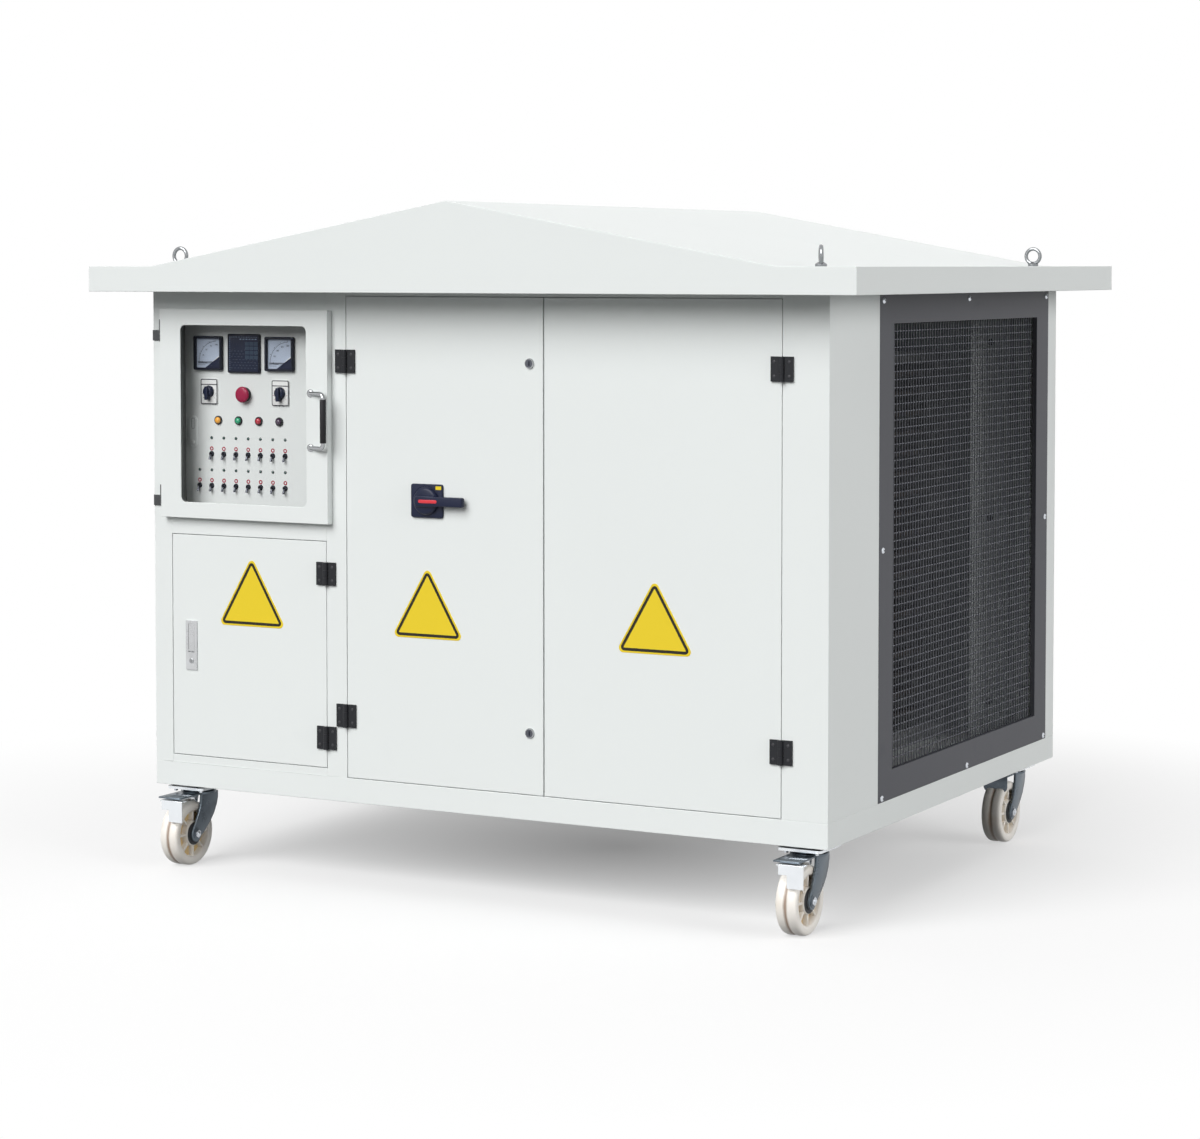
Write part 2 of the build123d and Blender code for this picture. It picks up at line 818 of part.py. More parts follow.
y_plate_face = y_mount - plate_thickness
disconnect_x = doors_left + disconnect_inset
disconnect_z = z_sill + disconnect_lift
with BuildPart() as main_breaker:
    with BuildSketch(facing_front(y_plate_face)):
        with Locations((disconnect_x, disconnect_z)):
            Rectangle(breaker_width, breaker_height)
    extrude(amount=breaker_depth * switch_shoulder)
    with BuildSketch(facing_front(y_plate_face)):
        with Locations((disconnect_x, disconnect_z)):
            Rectangle(breaker_width, breaker_height / 2)
    extrude(amount=breaker_depth)
y_breaker = y_plate_face - breaker_depth
with BuildPart() as breaker_shaft:
    with BuildSketch(facing_front(y_breaker - axial_gap)):
        with Locations((disconnect_x, disconnect_z)):
            Rectangle(breaker_shaft_side, breaker_shaft_side)
    extrude(amount=y_breaker - axial_gap - (y_front + door_depth + shaft_gap))
save("breaker_shaft", breaker_shaft)

contactor_left = disconnect_x + breaker_width / 2 + contactor_offset
contactor_middle_x = contactor_left + contactor_pitch_x * (contactor_columns - 1) / 2
contactor_middle_z = (mount_bottom + mount_top) / 2
with BuildPart() as contactors:
    shoulder_depth = contactor_depth * switch_shoulder
    for height, depth in ((contactor_height, shoulder_depth), (contactor_height / 2, contactor_depth)):
        with BuildSketch(facing_front(y_plate_face)):
            with Locations((contactor_middle_x, contactor_middle_z)):
                with GridLocations(contactor_pitch_x, contactor_pitch_z, contactor_columns, contactor_rows):
                    Rectangle(contactor_width, height)
        extrude(amount=depth)
save("switchgear", main_breaker, contactors)

terminal_x = (bay_left + bay_right) / 2
terminal_z = (cable_bottom + cable_top) / 2 + terminal_board_height / 2
y_board = y_wall - terminal_board_standoff
terminal_pitch = terminal_board_width / terminal_count
terminal_hole_z = terminal_z + terminal_board_height / 2 - terminal_length + terminal_hole_inset
with BuildPart() as terminal_board:
    with BuildSketch(facing_front(y_board)):
        with Locations((terminal_x, terminal_z)):
            Rectangle(terminal_board_width, terminal_board_height)
    extrude(amount=terminal_board_thickness)
    with BuildSketch(facing_front(y_wall)):
        with Locations((terminal_x, terminal_z)):
            with GridLocations(terminal_board_width - terminal_width, 1, 2, 1):
                Circle(standoff_radius)
    extrude(amount=terminal_board_standoff)
with BuildPart() as terminal_bars:
    with BuildSketch(facing_front(y_board - terminal_board_thickness)):
        with Locations((terminal_x, terminal_z + terminal_board_height / 2 - terminal_length / 2)):
            with GridLocations(terminal_pitch, 1, terminal_count, 1):
                Rectangle(terminal_width, terminal_length)
        with Locations((terminal_x, terminal_hole_z)):
            with GridLocations(terminal_pitch, 1, terminal_count, 1):
                Circle(terminal_hole_radius, mode=Mode.SUBTRACT)
    extrude(amount=terminal_thickness)
save("cable_terminals", terminal_board, terminal_bars)

# Doors: folded pans that lie flush in the front, carried by surface hinges


def door_pan(left, right, bottom, top, face, depth):
    """Tray of sheet with its open side to the rear."""
    with BuildSketch(facing_front(face + depth)) as outline:
        between(left, right, bottom, top)
    extrude(outline.sketch, amount=depth)
    rear_side = faces().filter_by(Axis.Y).sort_by(Axis.Y)[-1]
    offset(amount=-sheet, openings=rear_side)


y_hinge = y_front - knuckle_radius - axial_gap
leaf_reach = hinge_width / 2
knuckle_length = hinge_height / 3


def hinge_half(pin_x, middle_z, side, spans):
    """One half of a surface hinge: a plate on the face, and knuckles that reach the pin."""
    bottom = middle_z - hinge_height / 2
    near = pin_x + side * (knuckle_radius + leaf_relief)
    far = pin_x + side * leaf_reach
    with BuildSketch(level(bottom)) as plate:
        between(min(near, far), max(near, far), y_front - leaf_thickness, y_front)
    extrude(plate.sketch, amount=hinge_height)
    for low, high in spans:
        with BuildSketch(level(bottom + low)) as knuckle:
            with Locations((pin_x, y_hinge)):
                Circle(knuckle_radius)
            between(min(pin_x, near), max(pin_x, near), y_front - leaf_thickness, y_front)
        extrude(knuckle.sketch, amount=high - low)


outer_spans = ((0, knuckle_length - axial_gap), (2 * knuckle_length + axial_gap, hinge_height))
middle_span = ((knuckle_length, 2 * knuckle_length),)


def fixed_hinge(pin_x, middle_z, side):
    """The half on the frame, with both end knuckles and the pin."""
    with BuildPart() as half:
        hinge_half(pin_x, middle_z, side, outer_spans)
        disc(level(middle_z - hinge_height / 2), pin_x, y_hinge, pin_radius, hinge_height)
    return half


def moving_hinge(pin_x, middle_z, side):
    """The half on the door, bored for the pin."""
    with BuildPart() as half:
        hinge_half(pin_x, middle_z, side, middle_span)
        disc(
            level(middle_z - hinge_height / 2),
            pin_x,
            y_hinge,
            pin_radius + running_gap,
            hinge_height,
            mode=Mode.SUBTRACT,
        )
    return half


hinges = {
    "cable_door": (bay_right, 1, (cable_bottom + cable_hinge_lift, cable_top - cable_hinge_drop)),
    "middle_door": (doors_left, -1, (z_sill + large_hinge_lift, doors_top - large_hinge_drop)),
    "right_door": (doors_right, 1, (z_sill + large_hinge_lift, doors_top - large_hinge_drop)),
}
fixed_leaves = []
for name, (pin_x, frame_side, heights) in hinges.items():
    fixed_leaves += [fixed_hinge(pin_x, z, frame_side) for z in heights]
    save(f"{name}_hinges", *[moving_hinge(pin_x, z, -frame_side) for z in heights])

# Cable door, with its flush lock

lock_x = bay_left + lock_inset
lock_z = (cable_bottom + cable_top) / 2
lock_bottom = lock_z - lock_plate_height / 2
lock_top = lock_z + lock_plate_height / 2
flap_top = lock_top - (lock_plate_height - flap_height - flap_drop) / 2
flap_bottom = flap_top - flap_height
flap_pin_z = flap_bottom + flap_thickness / 2 + flap_gap
y_lock = y_front - lock_plate_thickness
flap_pin_y = y_lock + flap_thickness / 2 + flap_gap / 2
lock_body_bottom = lock_bottom + (lock_plate_height - flap_height - flap_drop) / 2
button_z = (flap_bottom + lock_bottom) / 2

with BuildPart() as cable_door:
    door_pan(
        bay_left + door_gap,
        bay_right - door_gap,
        cable_bottom + door_gap,
        cable_top - door_gap,
        y_front,
        door_depth,
    )
    block(
        (lock_x - lock_body_width / 2, y_front, lock_body_bottom - flap_gap),
        (lock_x + lock_body_width / 2, y_front + sheet, flap_top + 2 * flap_gap),
        mode=Mode.SUBTRACT,
    )
save("cable_door", cable_door)

with BuildPart() as flush_lock:
    with BuildSketch(facing_front(y_front)):
        between(lock_x - lock_plate_width / 2, lock_x + lock_plate_width / 2, lock_bottom, lock_top)
    extrude(amount=lock_plate_thickness)
    with BuildSketch(facing_front(y_front + lock_body_depth)):
        between(
            lock_x - lock_body_width / 2 + flap_gap,
            lock_x + lock_body_width / 2 - flap_gap,
            lock_body_bottom,
            flap_top + flap_gap,
        )
    extrude(amount=lock_body_depth)
    with BuildSketch(facing_front(y_lock + flap_thickness + 2 * flap_gap)):
        between(
            lock_x - flap_width / 2 - flap_gap,
            lock_x + flap_width / 2 + flap_gap,
            flap_bottom - flap_gap,
            flap_top + flap_gap / 2,
        )
    extrude(amount=flap_thickness + 2 * flap_gap, mode=Mode.SUBTRACT)
    disc(
        facing_right(lock_x - flap_width / 2 - flap_pin_radius),
        flap_pin_y,
        flap_pin_z,
        flap_pin_radius + running_gap,
        flap_width + 2 * flap_pin_radius,
        mode=Mode.SUBTRACT,
    )
    disc(
        facing_front(y_lock + lock_button_travel + 2 * lock_plate_thickness),
        lock_x,
        button_z,
        lock_button_radius + running_gap,
        lock_button_travel + 2 * lock_plate_thickness,
        mode=Mode.SUBTRACT,
    )
save("flush_lock", flush_lock)

with BuildPart() as lock_flap:
    with BuildSketch(facing_front(y_lock + flap_gap / 2 + flap_thickness)):
        between(lock_x - flap_width / 2, lock_x + flap_width / 2, flap_pin_z, flap_top)
    extrude(amount=flap_thickness)
    disc(facing_right(lock_x - flap_width / 2), flap_pin_y, flap_pin_z, flap_thickness / 2, flap_width)
    disc(
        facing_right(lock_x - flap_width / 2 - flap_pin_radius),
        flap_pin_y,
        flap_pin_z,
        flap_pin_radius,
        flap_width + 2 * flap_pin_radius,
    )
save("lock_flap", lock_flap)

with BuildPart() as lock_button:
    disc(
        facing_front(y_lock + 2 * lock_plate_thickness - axial_gap),
        lock_x,
        button_z,
        lock_button_radius,
        2 * lock_plate_thickness - axial_gap + lock_button_travel / 2,
    )
save("lock_button", lock_button)

# Middle door, with two quarter-turn locks and the rotary disconnect

quarter_lock_x = doors_meet - lock_edge_inset
quarter_locks = {
    "lower_lock": z_sill + lower_lock_lift,
    "upper_lock": doors_top - upper_lock_drop,
}
with BuildPart() as middle_door:
    door_pan(
        doors_left + door_gap,
        doors_meet - door_gap,
        z_sill + door_gap,
        doors_top - door_gap,
        y_front,
        door_depth,
    )
    with BuildSketch(facing_front(y_front + sheet)):
        with Locations(*[(quarter_lock_x, z) for z in quarter_locks.values()]):
            Circle(lock_barrel_radius + running_gap)
        with Locations((disconnect_x, disconnect_z)):
            Circle(disconnect_stem_radius + axial_gap)
    extrude(amount=sheet, mode=Mode.SUBTRACT)
save("middle_door", middle_door)

y_cam = y_stop + centre_strip_thickness + stop_gap
for name, quarter_lock_z in quarter_locks.items():
    with BuildPart() as quarter_lock:
        disc(
            facing_front(y_front - axial_gap),
            quarter_lock_x,
            quarter_lock_z,
            lock_head_radius,
            lock_head_height,
        )
        disc(
            facing_front(y_cam),
            quarter_lock_x,
            quarter_lock_z,
            lock_barrel_radius,
            y_cam - y_front + axial_gap,
        )
        with BuildSketch(facing_front(y_cam + cam_thickness)):
            between(
                quarter_lock_x - cam_width / 2,
                quarter_lock_x + cam_width / 2,
                quarter_lock_z - cam_length,
                quarter_lock_z + cam_width / 2,
            )
        extrude(amount=cam_thickness)
    save(name, quarter_lock)

y_disconnect = y_front - disconnect_plate_thickness
with BuildPart() as disconnect_plate:
    with BuildSketch(facing_front(y_front)):
        with Locations((disconnect_x, disconnect_z)):
            Rectangle(disconnect_plate_width, disconnect_plate_height)
            Circle(disconnect_stem_radius + running_gap, mode=Mode.SUBTRACT)
    extrude(amount=disconnect_plate_thickness)
save("disconnect_plate", disconnect_plate)

with BuildPart() as disconnect_handle:
    disc(
        facing_front(y_front + sheet + axial_gap),
        disconnect_x,
        disconnect_z,
        disconnect_stem_radius,
        sheet + disconnect_plate_thickness + 2 * axial_gap,
    )
    disc(
        facing_front(y_disconnect - axial_gap),
        disconnect_x,
        disconnect_z,
        disconnect_knob_radius,
        disconnect_knob_height,
    )
    with BuildSketch(facing_front(y_disconnect - axial_gap - disconnect_knob_height + lever_thickness)):
        between(
            disconnect_x,
            disconnect_x + lever_length,
            disconnect_z - lever_width / 2,
            disconnect_z + lever_width / 2,
        )
    extrude(amount=lever_thickness)
save("disconnect_handle", disconnect_handle)

with BuildPart() as right_door:
    door_pan(
        doors_meet + door_gap,
        doors_right - door_gap,
        z_sill + door_gap,
        doors_top - door_gap,
        y_front,
        door_depth,
    )
save("right_door", right_door)

# Window door: a proud pan round a clear pane, on two lift-off hinges, with a bent pull handle

window_x = (bay_left + bay_right) / 2
window_left = opening_left - window_lap_side
window_right = opening_right + window_lap_side
window_bottom = opening_bottom - window_lap_bottom
window_top = opening_top + window_lap_top
window_z = (window_bottom + window_top) / 2
y_window = y_front - window_door_depth
chrome_pin_x = window_left - chrome_knuckle_radius - leaf_relief
chrome_pin_y = y_front - chrome_knuckle_radius - axial_gap
chrome_half = chrome_hinge_height / 2

with BuildPart() as window_door:
    window_pan_depth = window_door_depth - window_seal
    door_pan(window_left, window_right, window_bottom, window_top, y_window, window_pan_depth)
    with BuildSketch(facing_front(y_window + sheet)):
        with Locations((window_x, window_z)):
            RectangleRounded(window_width, window_height, window_corner)
    extrude(amount=sheet, mode=Mode.SUBTRACT)
save("window_door", window_door)

with BuildPart() as window_pane:
    with BuildSketch(facing_front(y_window + sheet + pane_thickness)):
        with Locations((window_x, window_z)):
            RectangleRounded(
                window_width + 2 * pane_lap, window_height + 2 * pane_lap, window_corner + pane_lap
            )
    extrude(amount=pane_thickness)
save("window_pane", window_pane)

chrome_heights = (window_bottom + chrome_hinge_height, window_top - chrome_hinge_height)
chrome_moving = []
for middle_z in chrome_heights:
    with BuildPart() as fixed_half:
        with BuildSketch(level(middle_z - chrome_half)):
            with Locations((chrome_pin_x, chrome_pin_y)):
                Circle(chrome_knuckle_radius)
            between(x_left, chrome_pin_x, y_front - chrome_leaf_thickness, y_front)
        extrude(amount=chrome_half - axial_gap)
        disc(level(middle_z - chrome_half), chrome_pin_x, chrome_pin_y, pin_radius, chrome_hinge_height)
    fixed_leaves.append(fixed_half)
    with BuildPart() as moving_half:
        with BuildSketch(level(middle_z)):
            with Locations((chrome_pin_x, chrome_pin_y)):
                Circle(chrome_knuckle_radius)
            between(
                chrome_pin_x,
                window_left,
                chrome_pin_y - chrome_knuckle_radius,
                chrome_pin_y,
            )
            with Locations((chrome_pin_x, chrome_pin_y)):
                Circle(pin_radius + running_gap, mode=Mode.SUBTRACT)
        extrude(amount=chrome_half)
    chrome_moving.append(moving_half)
save("hinge_leaves", *fixed_leaves)
save("window_door_hinges", *chrome_moving)

handle_x = window_right - handle_inset
handle_z = window_bottom + handle_centre_lift
handle_slope = Vector(handle_reach_x, -handle_reach_y, 0)
handle_plane = Plane(
    origin=(handle_x, y_window, handle_z), x_dir=handle_slope, z_dir=handle_slope.cross(Vector(0, 0, 1))
)
handle_reach = handle_slope.length
with BuildPart() as door_handle:
    with BuildLine(handle_plane) as handle_path:
        FilletPolyline(
            (-handle_reach / 2, handle_length / 2),
            (handle_reach, handle_length / 2),
            (handle_reach, -handle_length / 2),
            (-handle_reach / 2, -handle_length / 2),
            radius=handle_bend,
        )
    with BuildSketch(Plane(origin=handle_path.line @ 0, z_dir=handle_path.line % 0)):
        Circle(handle_rod_radius)
    sweep(path=handle_path.line)
    split(bisect_by=facing_front(y_window), keep=Keep.TOP)
save("door_handle", door_handle)

with BuildPart() as handle_grip:
    with BuildSketch(level(handle_z - grip_length / 2)):
        with Locations((handle_x + handle_reach_x, y_window - handle_reach_y)):
            Circle(grip_radius)
            Circle(handle_rod_radius + running_gap, mode=Mode.SUBTRACT)
    extrude(amount=grip_length)
save("handle_grip", handle_grip)

# Control panel: a tray that swings on pins at its right edge and carries the instruments

panel_left = opening_left + panel_gap
panel_right = panel_pin_x + panel_depth / 2
panel_bottom = opening_bottom + panel_gap
panel_top = opening_top - panel_gap
panel_x = (panel_left + panel_right) / 2 + instrument_offset
y_behind = y_panel + sheet
meter_spots = [(panel_x + side * meter_spread / 2, panel_top - meter_drop) for side in (-1, 1)]
power_spot = (panel_x, panel_top - meter_drop)
selector_spots = [(panel_x + side * meter_spread / 2, panel_top - selector_drop) for side in (-1, 1)]
estop_spot = (panel_x, panel_top - estop_drop)
lamp_spots = [
    (panel_x + lamp_offset + (i - (lamp_count - 1) / 2) * lamp_pitch, panel_top - lamp_drop)
    for i in range(lamp_count)
]
toggle_rows = {
    "upper_toggles": [(panel_x + toggle_right - i * toggle_pitch, panel_top - toggle_upper_drop)
                      for i in range(toggle_upper_count)],
    "lower_toggles": [(panel_x + toggle_right - i * toggle_pitch, panel_top - toggle_lower_drop)
                      for i in range(toggle_lower_count)],
}
toggle_spots = [spot for row in toggle_rows.values() for spot in row]
meter_body_side = meter_size - 2 * meter_rim
power_body_side = power_meter_size - 2 * meter_rim

with BuildPart() as control_panel:
    door_pan(panel_left, panel_right, panel_bottom, panel_top, y_panel, panel_depth)
    with BuildSketch(facing_front(y_behind)):
        with Locations(*meter_spots):
            Rectangle(meter_body_side + fitting_gap, meter_body_side + fitting_gap)
        with Locations(power_spot):
            Rectangle(power_body_side + fitting_gap, power_body_side + fitting_gap)
        with Locations(*selector_spots):
            Rectangle(selector_body_side + fitting_gap, selector_body_side + fitting_gap)
        with Locations(estop_spot):
            Circle(estop_collar_radius - sheet + fitting_gap)
        with Locations(*lamp_spots):
            Circle(lamp_body_radius + fitting_gap)
        with Locations(*toggle_spots):
            Circle(bush_radius + fitting_gap)
    extrude(amount=sheet, mode=Mode.SUBTRACT)
    for pin_z in (panel_bottom, panel_top - sheet):
        disc(level(pin_z), panel_pin_x, panel_pin_y, pin_radius + running_gap, sheet, mode=Mode.SUBTRACT)
save("control_panel", control_panel)

needle_x = meter_size / 2 - meter_rim - needle_pivot_inset
y_dial = y_panel - meter_bezel + dial_recess
mask_leg = 2 * needle_pivot_inset
meters = []
for side, (meter_x, meter_z) in zip(("left", "right"), meter_spots):
    pivot = (meter_x + needle_x, meter_z - needle_x)
    with BuildPart() as analog_meter:
        with BuildSketch(facing_front(y_panel)):
            with Locations((meter_x, meter_z)):
                Rectangle(meter_size, meter_size)
        extrude(amount=meter_bezel)
        with BuildSketch(facing_front(y_panel + meter_body)):
            with Locations((meter_x, meter_z)):
                Rectangle(meter_body_side, meter_body_side)
        extrude(amount=meter_body)
        with BuildSketch(facing_front(y_dial)):
            with Locations((meter_x, meter_z)):
                Rectangle(meter_body_side, meter_body_side)
        extrude(amount=dial_recess, mode=Mode.SUBTRACT)
        with BuildSketch(facing_front(y_dial - dial_recess + needle_thickness)):
            mask_x = meter_x + meter_body_side / 2
            mask_z = meter_z - meter_body_side / 2
            with BuildLine():
                Polyline(
                    (mask_x, mask_z), (mask_x - mask_leg, mask_z), (mask_x, mask_z + mask_leg), close=True
                )
            make_face()
        extrude(amount=needle_thickness)
    meters.append(analog_meter)
    with BuildPart() as needle:
        disc(facing_front(y_dial - axial_gap), *pivot, needle_hub_radius, dial_recess / 2)
        with BuildSketch(facing_front(y_dial - dial_recess / 2 + axial_gap)):
            between(
                pivot[0] - needle_length, pivot[0], pivot[1] - needle_width / 2, pivot[1] + needle_width / 2
            )
        extrude(amount=needle_thickness)
    save(f"{side}_needle", needle)

with BuildPart() as power_meter:
    with BuildSketch(facing_front(y_panel)):
        with Locations(power_spot):
            Rectangle(power_meter_size, power_meter_size)
    extrude(amount=power_bezel)
    with BuildSketch(facing_front(y_panel + power_body)):
        with Locations(power_spot):
            Rectangle(power_body_side, power_body_side)
    extrude(amount=power_body)

selectors = []
y_selector = y_panel - selector_plate_thickness
for side, spot in zip(("left", "right"), selector_spots):
    with BuildPart() as selector_plate:
        with BuildSketch(facing_front(y_panel)):
            with Locations(spot):
                Rectangle(selector_plate_width, selector_plate_height)
        extrude(amount=selector_plate_thickness)
        with BuildSketch(facing_front(y_panel + selector_body_depth)):
            with Locations(spot):
                Rectangle(selector_body_side, selector_body_side)
        extrude(amount=selector_body_depth)
        disc(
            facing_front(y_behind),
            *spot,
            stem_radius + running_gap,
            sheet + selector_plate_thickness,
            mode=Mode.SUBTRACT,
        )
    selectors.append(selector_plate)
    with BuildPart() as selector_knob:
        disc(facing_front(y_selector - axial_gap), *spot, knob_radius, knob_skirt)
        disc(facing_front(y_behind - axial_gap), *spot, stem_radius, sheet + selector_plate_thickness)
        with BuildSketch(facing_front(y_selector - axial_gap)):
            with Locations(spot):
                SlotOverall(knob_bar_length, knob_bar_width, rotation=90)
        extrude(amount=knob_height)
    save(f"{side}_selector", selector_knob)
save("panel_instruments", *meters, power_meter, *selectors)

y_collar = y_panel - estop_collar_height
with BuildPart() as estop_collar:
    disc(facing_front(y_panel), *estop_spot, estop_collar_radius, estop_collar_height)
    disc(facing_front(y_panel + meter_body), *estop_spot, estop_collar_radius - sheet, meter_body)
    disc(
        facing_front(y_panel + meter_body / 2),
        *estop_spot,
        estop_stem_radius + running_gap,
        meter_body / 2 + estop_collar_height,
        mode=Mode.SUBTRACT,
    )

toggle_bodies = []
for toggle_x, toggle_z in toggle_spots:
    with BuildPart() as toggle_body:
        with BuildSketch(facing_front(y_behind)):
            with Locations((toggle_x, toggle_z)):
                RegularPolygon(bush_radius, 6)
        extrude(amount=sheet + bush_height)
        with BuildSketch(facing_front(y_behind + toggle_body_depth)):
            with Locations((toggle_x, toggle_z)):
                Rectangle(2 * bush_radius + sheet, 2 * bush_radius + sheet)
        extrude(amount=toggle_body_depth)
        disc(
            facing_front(y_panel + bush_bore_radius),
            toggle_x,
            toggle_z,
            bush_bore_radius,
            bush_bore_radius + bush_height,
            mode=Mode.SUBTRACT,
        )
    toggle_bodies.append(toggle_body)
save("switch_bodies", estop_collar, *toggle_bodies)

with BuildPart() as estop_button:
    y_cap = y_collar - estop_travel - axial_gap
    disc(facing_front(y_cap), *estop_spot, estop_radius, estop_dome)
    chamfer(faces().sort_by(Axis.Y)[0].edges(), estop_dome / 2)
    disc(facing_front(y_panel), *estop_spot, estop_stem_radius, y_panel - y_cap)
save("estop_button", estop_button)

with BuildPart() as indicator_lamps:
    with BuildSketch(facing_front(y_panel)):
        with Locations(*lamp_spots):
            Circle(lamp_radius)
    extrude(amount=lamp_height)
    with BuildSketch(facing_front(y_panel + lamp_body_depth)):
        with Locations(*lamp_spots):
            Circle(lamp_body_radius)
    extrude(amount=lamp_body_depth)
save("indicator_lamps", indicator_lamps)

tilt = radians(toggle_tilt)
for name, row in toggle_rows.items():
    with BuildPart() as levers:
        for toggle_x, toggle_z in row:
            along = Vector(0, -cos(tilt), -sin(tilt))
            middle = Vector(toggle_x, y_panel, toggle_z)
            for reach, radius in ((-toggle_tail, toggle_root_radius), (toggle_length, toggle_tip_radius)):
                with BuildSketch(Plane(origin=middle + along * reach, x_dir=(1, 0, 0), z_dir=along)):
                    RegularPolygon(radius, 6)
            loft()
    save(name, levers)

# Casters: bolted plate, ring, race with kingpin, swivelling fork, spoked wheel

z_plate = z_base - caster_plate_thickness
z_race = z_plate - swivel_ring_height - swivel_height
z_crown = z_race - axial_gap
z_crown_low = z_crown - fork_sheet
z_head = z_crown_low - axial_gap - kingpin_head
z_axle = wheel_diameter / 2
leg_inner = wheel_width / 2 + wheel_gap
caster_plates = []
for name, (spot_x, spot_y) in caster_spots.items():
    axle_y = spot_y - wheel_trail
    with BuildPart() as ring:
        disc(level(z_race + swivel_height), spot_x, spot_y, swivel_ring_radius, swivel_ring_height)
    with BuildPart() as plate:
        with BuildSketch(level(z_plate)):
            with Locations((spot_x, spot_y)):
                Rectangle(caster_plate_x, caster_plate_y)
        extrude(amount=caster_plate_thickness)
        with BuildSketch(level(z_plate)):
            with Locations((spot_x, spot_y)):
                with GridLocations(caster_bolt_x, caster_bolt_y, 2, 2):
                    RegularPolygon(caster_nut_radius, 6)
        extrude(amount=-caster_nut_height)
    with BuildPart() as race:
        disc(level(z_race), spot_x, spot_y, swivel_radius, swivel_height)
        disc(level(z_head), spot_x, spot_y, kingpin_radius, z_race - z_head)
        disc(level(z_head), spot_x, spot_y, kingpin_head_radius, kingpin_head)
    caster_plates += [plate, ring, race]

    with BuildPart() as fork:
        disc(level(z_crown_low), spot_x, spot_y, fork_crown_radius, fork_sheet)
        for near in (spot_x - leg_inner - fork_sheet, spot_x + leg_inner):
            with BuildSketch(facing_right(near)) as leg:
                with Locations((axle_y, z_axle)):
                    Circle(fork_leg_foot)
                with Locations((spot_y, z_crown - fork_sheet / 2)):
                    Rectangle(fork_leg_head, fork_sheet)
                make_hull(leg.edges())
            extrude(amount=fork_sheet)
        disc(
            level(z_crown_low),
            spot_x,
            spot_y,
            kingpin_radius + running_gap,
            fork_sheet,
            mode=Mode.SUBTRACT,
        )
        axle_reach = leg_inner + fork_sheet
        disc(facing_right(spot_x - axle_reach), axle_y, z_axle, axle_radius, 2 * axle_reach)
        for near in (spot_x - axle_reach - axle_nut_height, spot_x + axle_reach):
            with BuildSketch(facing_right(near)):
                with Locations((axle_y, z_axle)):
                    RegularPolygon(axle_nut_radius, 6)
            extrude(amount=axle_nut_height)
        if spot_y < 0:
            disc(
                facing_right(spot_x - leg_inner),
                axle_y + pedal_pin_back,
                z_axle + pedal_pin_rise,
                pedal_pin_radius,
                2 * leg_inner,
            )
    save(f"{name}_fork", fork)

    wheel_plane = Plane(origin=(spot_x, axle_y, z_axle), x_dir=(1, 0, 0), z_dir=(0, -1, 0))
    with BuildPart() as wheel:
        with BuildSketch(wheel_plane):
            between(-wheel_width / 2, wheel_width / 2, z_axle - wheel_rim, z_axle)
            between(-wheel_web / 2, wheel_web / 2, wheel_hub_radius, z_axle - wheel_rim)
            between(-wheel_width / 2, wheel_width / 2, axle_radius + running_gap, wheel_hub_radius)
        revolve(axis=Axis((spot_x, axle_y, z_axle), (1, 0, 0)))
        rib_reach = z_axle - wheel_rim - wheel_hub_radius
        with Locations(Plane(origin=(spot_x, axle_y, z_axle), x_dir=(0, 1, 0), z_dir=(1, 0, 0))):
            with PolarLocations(wheel_hub_radius + rib_reach / 2, wheel_ribs):
                Box(rib_reach + 2 * wheel_rib_root, wheel_rib_width, wheel_width - wheel_rib_width)
    save(f"{name}_wheel", wheel)
save("caster_plates", *caster_plates)

# Brake pedals of the front casters: an arm over the wheel, widened to a shelf and bent down in front,
# with a lobe to the left

for name in ("front_left", "front_right"):
    spot_x, spot_y = caster_spots[name]
    axle_y = spot_y - wheel_trail
    pin_y = axle_y + pedal_pin_back
    pin_z = z_axle + pedal_pin_rise
    front_y = axle_y - pedal_front
    top_z = pin_z + pedal_eye_radius
    with BuildPart() as pedal:
        with BuildSketch(facing_right(spot_x - pedal_arm_width / 2)):
            with Locations((pin_y, pin_z)):
                Circle(pedal_eye_radius)
            between(front_y, pin_y, top_z - pedal_sheet, top_z)
            with Locations((pin_y, pin_z)):
                Circle(pedal_pin_radius + running_gap, mode=Mode.SUBTRACT)
        extrude(amount=pedal_arm_width)
        plate_left = spot_x + pedal_offset - pedal_arm_width / 2
        plate_right = plate_left + pedal_arm_width
        with BuildSketch(level(top_z - pedal_sheet)):
            between(plate_left - pedal_lobe_width, plate_right, front_y, front_y + pedal_shelf)
        extrude(amount=pedal_sheet)
        with BuildSketch(facing_front(front_y + pedal_sheet)):
            between(plate_left, plate_right, top_z - pedal_height, top_z)
            between(plate_left - pedal_lobe_width, plate_left, top_z - pedal_lobe_height, top_z)
        extrude(amount=pedal_sheet)
    save(f"{name}_pedal", pedal)
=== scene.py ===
import json
from math import atan2, cos, pi, radians, sin, tan

import bmesh
import bpy
from mathutils import Matrix, Vector


